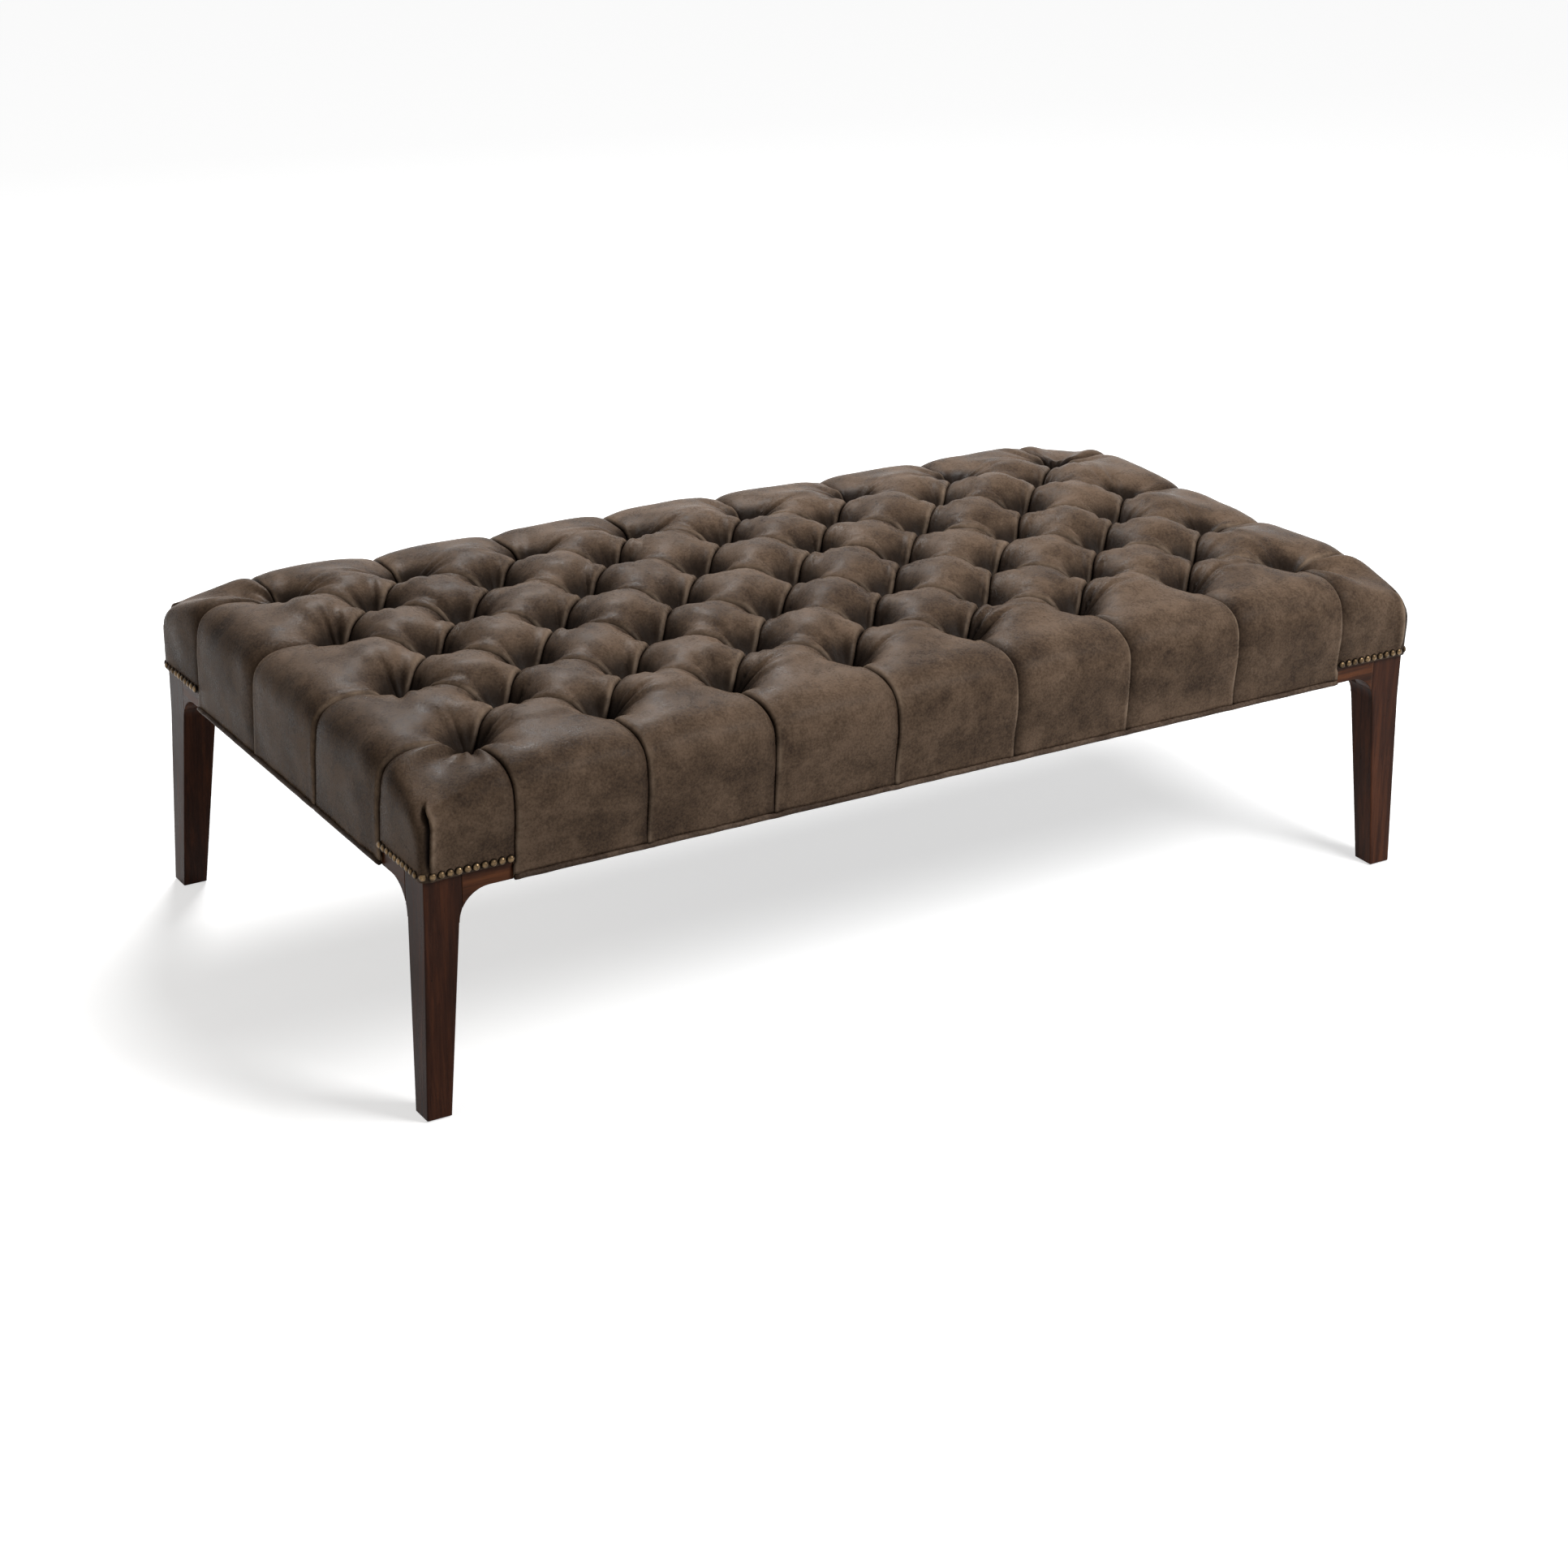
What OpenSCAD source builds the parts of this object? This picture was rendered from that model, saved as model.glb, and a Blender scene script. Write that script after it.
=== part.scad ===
// Deep-buttoned leather ottoman on four tapered hardwood legs.
// Millimetres, +Z up. The origin is the centre of the footprint, on the floor.
// The length runs along X. The front long side faces -Y.

/* [Frame] */
// Length of the wooden frame over the outer faces of the legs
frame_l = 1400; // [1200:10:1700]
// Width of the wooden frame over the outer faces of the legs
frame_w = 730; // [620:10:860]
// Height of the line where the nailed leather ends and the bare wood begins
wood_top = 296; // [260:2:360]
// Height from the rails' top edge down to the wood line
post_h = 40; // [36:2:60]
// Thickness of the rails and of the curved brackets
rail_t = 28; // [24:1:34]
// Depth of the curved brackets at their thin end
ear_h = 22; // [18:1:28]
// How far a bracket on the long side reaches from the corner
ear_reach_x = 110; // [100:1:130]
// How far a bracket on the short side reaches from the corner
ear_reach_y = 105; // [98:1:120]
// Radius of the curve between a bracket and its leg
ear_r = 38; // [30:1:42]
// Plywood deck thickness
deck_t = 12; // [9:1:18]
// Width of the two cross rails
cross_w = 32; // [24:1:50]
// Height of the two cross rails
cross_h = 36; // [30:1:38]

/* [Legs] */
// Leg width at the top block
leg_top = 47; // [44:1:52]
// Leg width just under the curved brackets
leg_mid = 43; // [40:1:44]
// Leg width at the foot
leg_foot = 31; // [24:1:38]
// How far the foot stands outside the frame, each way
leg_splay = 6; // [0:1:12]
// Eased edge radius of the legs
leg_ease = 1.5; // [0.5:0.5:3]
// Diameter of the glide under each foot
glide_d = 22; // [16:1:23]
// Thickness of the glide's pad
glide_t = 2; // [1:0.5:4]

/* [Upholstery] */
// Height of the middle tufts' puffs above the deck
pad_h = 82; // [78:1:100]
// Depth of the button wells below the puffs
well_depth = 66; // [56:1:70]
// Depth of the pleats between two wells, below the puffs
pleat_depth = 32; // [24:1:40]
// How far the leather stands outside the wood
skin = 4; // [4:0.5:6]
// Leather thickness at the sides
leather_t = 1.6; // [1.2:0.1:1.8]
// Gap between a bracket's end and the first pleat
fold_gap = 3; // [2:1:6]
// Diameter of the covered buttons
button_d = 18; // [14:1:19]
// Height of the covered buttons
button_h = 6; // [4:1:8]
// Diameter of the piping at the leather's lower edge
piping_d = 7; // [5:0.5:8]
// Buttons in an outer row along the length
tuft_cols = 8; // [6:1:9]
// Buttons in an outer row across the width
tuft_rows = 4; // [3:1:5]

/* [Fasteners] */
// Diameter of a decorative nail's head
nail_d = 9.5; // [7:0.5:9.5]
// Height of a decorative nail's head
nail_h = 3.4; // [2.5:0.1:4]
// Nails along one bracket, besides the corner nail
nail_n = 10; // [6:1:10]
// Diameter of a nail's shank
shank_d = 1.6; // [1.2:0.1:2]
// Length of a nail's shank, with the part inside the leather
shank_l = 12; // [10:0.5:12]
// Dowel diameter
dowel_d = 8; // [6:1:10]
// Dowel length
dowel_l = 50; // [40:2:56]
// Wood screw diameter
screw_d = 4; // [3.5:0.5:5]
// Twine diameter
twine_d = 2; // [1.5:0.5:3]

/* [Hidden] */
$fn = 32;

// Clearances
soft_gap = 0.3;
bore_gap = 0.1;
cut = 1;
// Heights
rail_top = wood_top + post_h;
ear_bottom = wood_top - ear_h;
rail_step = 2;
rail_bottom = ear_bottom + rail_step;
deck_top = rail_top + deck_t;
seat_h = deck_top + pad_h;
curve_z = ear_bottom - ear_r;
hem_z = ear_bottom + piping_d + soft_gap;
// Tuft lattice: half steps between button columns and rows
half_cols = tuft_cols - 1;
half_rows = tuft_rows - 1;
border_x = ear_reach_x + fold_gap;
border_y = ear_reach_y + fold_gap;
tuft_x = frame_l / 2 - border_x;
tuft_y = frame_w / 2 - border_y;
step_x = tuft_x / half_cols;
step_y = tuft_y / half_rows;
well_z = seat_h - well_depth;
pleat_z = seat_h - pleat_depth;
// Colours
wood_color = [0.22, 0.11, 0.07];
bare_wood = [0.78, 0.63, 0.44];
leather_color = [0.33, 0.27, 0.22];
brass_color = [0.55, 0.43, 0.24];
steel_color = [0.7, 0.71, 0.72];
black_cloth = [0.08, 0.08, 0.08];

// Places children at a corner of the frame, with u and v running inwards.
module at_corner(side_x, side_y) {
    translate([side_x * frame_l / 2, side_y * frame_w / 2, 0])
        mirror([side_x > 0 ? 1 : 0, 0, 0])
            mirror([0, side_y > 0 ? 1 : 0, 0])
                children();
}

module eased_square(size, ease) {
    translate([ease, 0])
        square([size - 2 * ease, size]);
    translate([0, ease])
        square([size, size - 2 * ease]);
    for (x = [ease, size - ease])
        for (y = [ease, size - ease])
            translate([x, y])
                circle(r = ease);
}

// Dowels between a rail's end and the leg's block, at two heights.
dowel_rise = [12, post_h - 12];
module rail_dowel_set(grow) {
    for (rise = dowel_rise) {
        translate([leg_top - dowel_l / 2, rail_t / 2, wood_top + rise])
            rotate([0, 90, 0])
                cylinder(d = dowel_d + grow, h = dowel_l);
    }
}

// The short rail's dowels cross below and above the long rail's.
short_rise = [dowel_d / 2 + 1, post_h / 2];
module short_dowel_set(grow) {
    for (rise = short_rise) {
        translate([rail_t / 2, leg_top - short_depth, wood_top + rise])
            rotate([-90, 0, 0])
                cylinder(d = dowel_d + grow, h = dowel_l / 2 + short_depth);
    }
}
short_depth = leg_top - rail_t / 2 - dowel_d;

// One dowel from each bracket into the leg.
ear_dowel_l = 36;
ear_dowel_z = wood_top - dowel_d / 2 - 3;
module ear_dowel_x(grow) {
    translate([leg_top - ear_dowel_l / 2, rail_t / 2, ear_dowel_z])
        rotate([0, 90, 0])
            cylinder(d = dowel_d + grow, h = ear_dowel_l);
}

// The bracket dowel on the short side sits lower, so the two don't meet inside the leg.
ear_dowel_drop = dowel_d + 3;
module ear_dowel_y(grow) {
    translate([rail_t / 2, leg_top - ear_dowel_l / 2, ear_dowel_z - ear_dowel_drop])
        rotate([-90, 0, 0])
            cylinder(d = dowel_d + grow, h = ear_dowel_l);
}

// Decorative nails: a domed head on the leather and a shank into the wood.
nail_first = 9.6;
nail_z = wood_top + nail_d / 2 + 0.3;
nail_seat = skin + 0.3;
nail_reach = nail_d / 2 + 0.5;
function nail_u(reach, k) = nail_first + k * (reach - nail_reach - nail_first) / (nail_n - 1);

module shank(grow) {
    translate([0, 0, -shank_l - grow / 2])
        cylinder(d = shank_d + grow, h = shank_l + grow / 2);
}

module nail() {
    cap_r = (nail_d * nail_d / 4 + nail_h * nail_h) / (2 * nail_h);
    cap_a = asin(nail_d / 2 / cap_r);
    rotate_extrude($fn = 24)
        polygon(concat(
            [[0, 0]],
            [for (k = [4:-1:0]) [cap_r * sin(cap_a * k / 4), nail_h - cap_r * (1 - cos(cap_a * k / 4))]]
        ));
    shank(0);
}

// Places children on each nail's seat along one corner, pointing outwards.
corner_nail_seat = skin * 0.6;
module at_nails_long() {
    for (k = [0:nail_n - 1])
        translate([nail_u(ear_reach_x, k), -nail_seat, nail_z])
            rotate([90, 0, 0])
                children();
}
module at_nails_short() {
    for (k = [0:nail_n - 1])
        translate([-nail_seat, nail_u(ear_reach_y, k), nail_z])
            rotate([0, -90, 0])
                children();
}
module at_nail_corner() {
    translate([-corner_nail_seat, -corner_nail_seat, nail_z])
        rotate([0, 0, 45])
            rotate([0, -90, 0])
                children();
}

// Screws that hold a corner block: one into each rail, one into the leg's block.
// rail_bite is how deep they hold.
rail_bite = 16;
block_arm = 58;
block_h = 28;
block_z = rail_top - block_h;
screw_head_d = 2 * screw_d;
screw_head_h = screw_d * 0.6;
module wood_screw(length, grow) {
    translate([0, 0, -length])
        cylinder(d = screw_d + grow, h = length);
    translate([0, 0, -screw_head_h])
        cylinder(d1 = screw_d + grow, d2 = screw_head_d + grow, h = screw_head_h + grow / 4);
}
block_screw_u = leg_top + block_arm * 0.7;
block_screw_v = leg_top + rail_t - block_screw_u + block_arm;
module at_block_screws() {
    translate([block_screw_u, block_screw_v, block_z + block_h / 2])
        rotate([90, 0, 0])
            children(0);
    translate([block_screw_v, block_screw_u, block_z + block_h / 2])
        rotate([0, 90, 0])
            children(0);
    translate([block_mid, block_mid, block_z + block_h * 0.75])
        rotate([0, 0, 45])
            rotate([0, 90, 0])
                children(1);
}
block_mid = (leg_top + rail_t + block_arm) / 2;
screw_long = block_screw_v - rail_t + rail_bite;
screw_diag = (block_mid - leg_top) * sqrt(2) + rail_bite;

module leg() {
    color(wood_color)
        difference() {
            union() {
                translate([0, 0, curve_z])
                    linear_extrude(rail_top - curve_z)
                        eased_square(leg_top, leg_ease);
                hull() {
                    translate([-leg_splay, -leg_splay, glide_t])
                        linear_extrude(0.1)
                            eased_square(leg_foot, leg_ease);
                    translate([0, 0, curve_z])
                        linear_extrude(0.1)
                            eased_square(leg_mid, leg_ease);
                }
            }
            leg_curve_cut();
            mirror([1, -1, 0])
                leg_curve_cut();
            rail_dowel_set(bore_gap);
            short_dowel_set(bore_gap);
            ear_dowel_x(bore_gap);
            ear_dowel_y(bore_gap);
            at_nails_long()
                shank(bore_gap);
            at_nails_short()
                shank(bore_gap);
            at_nail_corner()
                shank(bore_gap);
            at_corner_screws_in_leg();
            glide_nail(bore_gap);
        }
}

// The bracket's curve runs on into the leg's block and ends flush with the tapered leg.
module leg_curve_cut() {
    translate([leg_mid + ear_r, -cut, curve_z])
        rotate([-90, 0, 0])
            cylinder(r = ear_r, h = leg_top + 2 * cut, $fn = 96);
}

module at_corner_screws_in_leg() {
    at_block_screws() {
        group();
        wood_screw(screw_diag, bore_gap);
    }
}

glide_nail_d = 2.5;
glide_nail_l = 16;
foot_mid = leg_foot / 2 - leg_splay;
module glide_nail(grow) {
    translate([foot_mid, foot_mid, glide_t - 0.2])
        cylinder(d = glide_nail_d + grow, h = glide_nail_l + grow);
}

module glide() {
    color(black_cloth) {
        translate([foot_mid, foot_mid, 0])
            cylinder(d = glide_d, h = glide_t);
        glide_nail(0);
    }
}

// Curved bracket beside the leg, under the rail's stepped end. Drawn for the long side.
module bracket_body(reach) {
    translate([0, rail_t, 0])
        rotate([90, 0, 0])
            linear_extrude(rail_t)
                difference() {
                    translate([leg_top, curve_z])
                        square([reach - leg_top, wood_top - curve_z]);
                    translate([leg_mid + ear_r, curve_z])
                        circle(r = ear_r, $fn = 96);
                    translate([leg_mid + ear_r, curve_z - cut])
                        square([reach, ear_r + cut]);
                }
}

module bracket_long() {
    color(wood_color)
        difference() {
            bracket_body(ear_reach_x);
            ear_dowel_x(bore_gap);
        }
}

module bracket_short() {
    color(wood_color)
        difference() {
            mirror([1, -1, 0])
                bracket_body(ear_reach_y);
            ear_dowel_y(bore_gap);
        }
}

// A rail's face outline: full depth between the brackets, stepped up over them.
module rail_face(half, reach) {
    inner = half - reach;
    polygon([
        [-half + leg_top, rail_top], [-half + leg_top, wood_top],
        [-inner, wood_top], [-inner, rail_bottom],
        [inner, rail_bottom], [inner, wood_top],
        [half - leg_top, wood_top], [half - leg_top, rail_top]
    ]);
}

module both_ends_long(side_y) {
    for (side_x = [-1, 1])
        at_corner(side_x, side_y)
            children();
}
module both_ends_short(side_x) {
    for (side_y = [-1, 1])
        at_corner(side_x, side_y)
            children();
}

module rail_long(side_y) {
    color(bare_wood)
        difference() {
            translate([0, side_y * (frame_w / 2 - rail_t / 2) + rail_t / 2, 0])
                rotate([90, 0, 0])
                    linear_extrude(rail_t)
                        rail_face(frame_l / 2, ear_reach_x);
            both_ends_long(side_y) {
                rail_dowel_set(bore_gap);
                at_nails_long()
                    shank(bore_gap);
                at_block_screws() {
                    wood_screw(screw_long, bore_gap);
                    group();
                }
            }
            at_deck_screws()
                wood_screw(deck_screw_l, bore_gap);
        }
}

module rail_short(side_x) {
    color(bare_wood)
        difference() {
            translate([side_x * (frame_l / 2 - rail_t / 2) - rail_t / 2, 0, 0])
                rotate([90, 0, 90])
                    linear_extrude(rail_t)
                        rail_face(frame_w / 2, ear_reach_y);
            both_ends_short(side_x) {
                short_dowel_set(bore_gap);
                at_nails_short()
                    shank(bore_gap);
                at_block_screws() {
                    wood_screw(screw_long, bore_gap);
                    group();
                }
            }
            at_deck_screws()
                wood_screw(deck_screw_l, bore_gap);
        }
}

// Cross rails stand between button columns, clear of the twines.
cross_x = step_x * 2.5;
module cross_rail(side_x) {
    color(bare_wood)
        difference() {
            translate([side_x * cross_x - cross_w / 2, -frame_w / 2 + rail_t, rail_top - cross_h])
                cube([cross_w, frame_w - 2 * rail_t, cross_h]);
            at_deck_screws()
                wood_screw(deck_screw_l, bore_gap);
        }
}

module corner_block() {
    color(bare_wood)
        difference() {
            translate([0, 0, block_z])
                linear_extrude(block_h)
                    polygon([
                        [leg_top, rail_t], [leg_top + block_arm, rail_t],
                        [rail_t, leg_top + block_arm], [rail_t, leg_top],
                        [leg_top, leg_top]
                    ]);
            at_block_screws() {
                wood_screw(screw_long, bore_gap);
                wood_screw(screw_diag, bore_gap);
            }
        }
}

module corner_screws() {
    color(steel_color)
        for (side_x = [-1, 1])
            for (side_y = [-1, 1])
                at_corner(side_x, side_y)
                    at_block_screws() {
                        wood_screw(screw_long, 0);
                        wood_screw(screw_diag, 0);
                    }
}

module rail_dowels() {
    color(bare_wood)
        for (side_x = [-1, 1])
            for (side_y = [-1, 1])
                at_corner(side_x, side_y) {
                    rail_dowel_set(0);
                    short_dowel_set(0);
                }
}

module bracket_dowels() {
    color(bare_wood)
        for (side_x = [-1, 1])
            for (side_y = [-1, 1])
                at_corner(side_x, side_y) {
                    ear_dowel_x(0);
                    ear_dowel_y(0);
                }
}

// Deck screws: along both long rails, both short rails and both cross rails.
deck_screw_l = 32;
deck_screws_long = 7;
module at_deck_screws() {
    long_span = 2 * (frame_l / 2 - ear_reach_x - rail_t);
    short_span = 2 * (frame_w / 2 - ear_reach_y - rail_t);
    mid_y = frame_w / 2 - rail_t / 2;
    for (side = [-1, 1]) {
        for (k = [0:deck_screws_long - 1])
            translate([(k / (deck_screws_long - 1) - 0.5) * long_span, side * mid_y, deck_top])
                children();
        for (y = [-short_span / 2, 0, short_span / 2]) {
            translate([side * (frame_l / 2 - rail_t / 2), y, deck_top])
                children();
            translate([side * cross_x, y, deck_top])
                children();
        }
    }
}

module deck_screws() {
    color(steel_color)
        at_deck_screws()
            wood_screw(deck_screw_l, 0);
}

// Button places, in half steps from the middle: column and row have the same parity.
tufts = [
    for (row = [-half_rows:half_rows])
        for (col = [-half_cols:half_cols])
            if (is_tuft(col, row)) [col, row]
];
function is_tuft(col, row) = abs(col + row + half_cols + half_rows) % 2 == 0;
module at_tufts() {
    for (tuft = tufts)
        translate([tuft[0] * step_x, tuft[1] * step_y, 0])
            children();
}

deck_inset = 2;
twine_hole_d = 6;
module plywood_deck() {
    color(bare_wood)
        difference() {
            translate([-frame_l / 2 + deck_inset, -frame_w / 2 + deck_inset, rail_top])
                cube([frame_l - 2 * deck_inset, frame_w - 2 * deck_inset, deck_t]);
            at_tufts()
                translate([0, 0, rail_top - cut])
                    cylinder(d = twine_hole_d, h = deck_t + 2 * cut, $fn = 24);
            at_deck_screws()
                wood_screw(deck_screw_l, bore_gap);
        }
}

// Upholstery surface, as a lattice of half cells. Even indices lie on button lines, odd ones
// between them. Past the last button line, three more levels round the edge over.
last_i = 2 * half_cols;
last_j = 2 * half_rows;
edge_levels = 3;
end_i = last_i + edge_levels;
end_j = last_j + edge_levels;
edge_share = [0, 0.32, 0.72, 1];
edge_drop = [0, 5, 19, 44];
fold_drop = [0, 24, 13, 2];
wall_drop = 13;
shoulder_drop = [0, 6, 4, 1];
wall_shift = step_x * 0.07;
bulge = [1.5, 0.6, -0.4];
hem_bulge = [0.2, 0, -0.4];
corner_round = [3.5, 2.3];
corner_lift = 7;
floor_r = button_d / 2 * 1.45;

function side_of(v) = v < 0 ? -1 : 1;
function clamp(v, limit) = max(-limit, min(limit, v));
function odd(v) = abs(v) % 2 == 1;
function level(v, last) = max(0, abs(v) - last);
// Kind of an index along a button line: 0 crest, 1 beside a well, 2 well or fold.
function kind(i, j) =
    odd(i) || odd(j) ? 1 : (is_tuft(i / 2, j / 2) ? 2 : 0);
// Points beside a well lean towards it, which keeps wells narrow and puffs full.
function lean(i, j, shift) =
    odd(j) || !odd(i) ? 0 : (is_tuft((i - 1) / 2, j / 2) ? -shift : shift);
function long_side_out(i, sizes) = skin + (abs(i) > last_i ? 0 : sizes[kind(i, last_j)]);
function short_side_out(j, sizes) = skin + (abs(j) > last_j ? 0 : sizes[kind(last_i, j)]);

function place_x(i, j) =
    abs(i) <= last_i
        ? i * step_x / 2 + lean(i, clamp(j, last_j), wall_shift)
        : side_of(i) * (tuft_x + edge_share[level(i, last_i)] * (border_x + skin));
function place_y(i, j) =
    abs(j) <= last_j
        ? j * step_y / 2 + lean(j, clamp(i, last_i), wall_shift)
        : side_of(j) * (tuft_y + edge_share[level(j, last_j)] * (border_y + skin));
function in_corner(i, j) = abs(i) > last_i && abs(j) > last_j;

function field_z(i, j) =
    odd(i) && odd(j) ? pleat_z : seat_h - [0, wall_drop, well_depth][kind(i, j)];
function fold_of(i, j, drops, lv) =
    in_corner(i, j) ? 0
        : [0, shoulder_drop[lv], drops[lv]][kind(clamp(i, last_i), clamp(j, last_j))];
function border_z(i, j) =
    seat_h
    - norm([edge_drop[level(i, last_i)], edge_drop[level(j, last_j)]])
    - fold_of(i, j, fold_drop, max(level(i, last_i), level(j, last_j)));
function top_z(i, j) =
    abs(i) <= last_i && abs(j) <= last_j ? field_z(i, j) : border_z(i, j);

// Outermost ring: the leather's vertical face, bulged between the folds.
function ring_plan(i, j, sizes, pull) =
    is_corner([i, j])
        ? [side_of(i) * (frame_l / 2 + skin - pull), side_of(j) * (frame_w / 2 + skin - pull)]
        : (abs(j) == end_j
            ? [place_x(i, j), side_of(j) * (frame_w / 2 + long_side_out(i, sizes))]
            : [side_of(i) * (frame_l / 2 + short_side_out(j, sizes)), place_y(i, j)]);
function on_ring(i, j) = abs(i) == end_i || abs(j) == end_j;
function is_corner(e) = abs(e[0]) == end_i && abs(e[1]) == end_j;
function lift(i, j) = is_corner([i, j]) ? corner_lift : 0;
function top_point(i, j) =
    on_ring(i, j)
        ? concat(ring_plan(i, j, bulge, corner_round[0]), [border_z(i, j) + lift(i, j)])
        : [place_x(i, j), place_y(i, j), top_z(i, j)];

// Four corners of one grid cell, anticlockwise, starting where both indices are even.
function cell(i, j) =
    let (a = odd(i) ? i + 1 : i, b = odd(j) ? j + 1 : j)
    let (c = odd(i) ? i : i + 1, d = odd(j) ? j : j + 1)
    (odd(i) == odd(j)) ? [[a, b], [c, b], [c, d], [a, d]] : [[a, b], [a, d], [c, d], [c, b]];
function toward(from, to) =
    let (way = [to[0] - from[0], to[1] - from[1], 0]) from + way * (floor_r / norm(way));
function well_cell(p) =
    let (near = toward(p[0], p[1]), far = toward(p[0], p[3]))
    [[near, p[1], p[2]], [near, p[2], far], [far, p[2], p[3]]];
function plain_cell(p) = [[p[0], p[1], p[2]], [p[0], p[2], p[3]]];
function cell_faces(i, j) =
    let (c = cell(i, j), p = [for (k = c) top_point(k[0], k[1])])
    abs(c[0][0]) <= last_i && abs(c[0][1]) <= last_j && kind(c[0][0], c[0][1]) == 2
        ? well_cell(p) : plain_cell(p);
function well_floor(tuft) =
    let (p = [tuft[0] * step_x, tuft[1] * step_y, well_z])
    let (e = p + [floor_r, 0, 0], n = p + [0, floor_r, 0], w = p - [floor_r, 0, 0], s = p - [0, floor_r, 0])
    [[e, n, w], [e, w, s]];

// Walk round the edge, anticlockwise: column index, row index and 1 over a bracket or 0 elsewhere.
function walk(from, to, sign, other, along_x, over, step) =
    [for (k = [from:step:to]) along_x ? [sign * k, other, over] : [other, sign * k, over]];
function edge_side(sign, last, end, other, along_x, fine) =
    concat(
        walk(-end, -last, sign, other, along_x, 1, fine ? 1 : edge_levels),
        walk(-last, last, sign, other, along_x, 0, fine ? 1 : 2),
        fine ? walk(last, end - 1, sign, other, along_x, 1, 1) : walk(last, last, sign, other, along_x, 1, 1)
    );
function edge_walk(fine) =
    concat(
        edge_side(1, last_i, end_i, -end_j, true, fine),
        edge_side(1, last_j, end_j, end_i, false, fine),
        edge_side(-1, last_i, end_i, end_j, true, fine),
        edge_side(-1, last_j, end_j, -end_i, false, fine)
    );
fine_walk = edge_walk(true);
coarse_walk = edge_walk(false);

// Over a bracket the leather is cut short, with its end a little clear of the fold.
step_aside = 2;
function aside(e) =
    e[2] == 1 && abs(e[0]) == last_i ? [side_of(e[0]) * step_aside, 0]
        : (e[2] == 1 && abs(e[1]) == last_j ? [0, side_of(e[1]) * step_aside] : [0, 0]);
function hem_height(e) = e[2] == 1 ? wood_top : hem_z;
function hem_point(e) =
    concat(ring_plan(e[0], e[1], hem_bulge, corner_round[1]) + aside(e), [hem_height(e)]);

// The leather's inside, which the foam follows: one point per button line and per pleat.
lining_crest = 6;
lining_pleat = 3;
lining_knee = 13;
lining_ring_z = deck_top + pad_h * 0.33;
lining_corner_z = deck_top + 4;
lining_well_z = deck_top + (well_z - deck_top) * 0.16;
hem_corner = 0.4;
function lining_z(i, j) =
    odd(i) ? pleat_z - lining_pleat : (kind(i, j) == 2 ? lining_well_z : seat_h - lining_crest);
function lining_field(i, j) = [i * step_x / 2, j * step_y / 2, lining_z(i, j)];
function lining_plan(e, out, corner) =
    is_corner(e)
        ? [side_of(e[0]) * (frame_l / 2 + corner), side_of(e[1]) * (frame_w / 2 + corner)]
        : (abs(e[1]) == end_j
            ? [e[0] * step_x / 2, side_of(e[1]) * (frame_w / 2 + out)]
            : [side_of(e[0]) * (frame_l / 2 + out), e[1] * step_y / 2]);
function lining_ring(e, out, corner, lower) =
    concat(lining_plan(e, out, corner), [(is_corner(e) ? lining_corner_z : lining_ring_z) - lower]);
function lining_hem(e) =
    concat(lining_plan(e, skin - leather_t, hem_corner) + aside(e), [hem_height(e)]);
// The corner's shoulder, one level in from the edge.
function knee(side_i, side_j) =
    let (i = side_i * (end_i - 1), j = side_j * (end_j - 1))
    [place_x(i, j), place_y(i, j), border_z(i, j) - lining_knee];
function lowered(p, lower) = p - [0, 0, lower];

function lining_cells(lower) =
    [
        for (i = [-last_i:2:last_i - 2])
            for (j = [-last_j:2:last_j - 2])
                let (a = lining_field(i, j), b = lining_field(i + 2, j))
                let (c = lining_field(i + 2, j + 2), d = lining_field(i, j + 2))
                let (m = lining_field(i + 1, j + 1))
                for (t = [[a, b, m], [b, c, m], [c, d, m], [d, a, m]]) [for (p = t) lowered(p, lower)]
    ];
function beside(at, other, along_x) = along_x ? lining_field(at, other) : lining_field(other, at);
function lining_side(sign, last, other_last, other_end, along_x, out, corner, lower) =
    [
        for (k = [-last:2:last - 2])
            let (e = along_x ? [sign * k, other_end] : [other_end, sign * k])
            let (f = along_x ? [sign * (k + 2), other_end] : [other_end, sign * (k + 2)])
            let (u = lowered(beside(sign * k, other_last, along_x), lower))
            let (v = lowered(beside(sign * (k + 2), other_last, along_x), lower))
            let (r = lining_ring(e, out, corner, lower), s = lining_ring(f, out, corner, lower))
            for (t = [[r, s, v], [r, v, u]]) t
    ];
function lining_corner(side_i, side_j, out, corner, lower) =
    let (well = lowered(lining_field(side_i * last_i, side_j * last_j), lower))
    let (p = lining_ring([side_i * last_i, side_j * end_j], out, corner, lower))
    let (q = lining_ring([side_i * end_i, side_j * end_j], out, corner, lower))
    let (r = lining_ring([side_i * end_i, side_j * last_j], out, corner, lower))
    let (top = lowered(knee(side_i, side_j), lower))
    side_i * side_j < 0
        ? [[well, p, top], [p, q, top], [q, r, top], [r, well, top]]
        : [[p, well, top], [q, p, top], [r, q, top], [well, r, top]];
function lining_roof(out, corner, lower) =
    concat(
        lining_cells(lower),
        lining_side(1, last_i, -last_j, -end_j, true, out, corner, lower),
        lining_side(1, last_j, last_i, end_i, false, out, corner, lower),
        lining_side(-1, last_i, last_j, end_j, true, out, corner, lower),
        lining_side(-1, last_j, -last_i, -end_i, false, out, corner, lower),
        lining_corner(-1, -1, out, corner, lower),
        lining_corner(1, -1, out, corner, lower),
        lining_corner(1, 1, out, corner, lower),
        lining_corner(-1, 1, out, corner, lower)
    );

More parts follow.
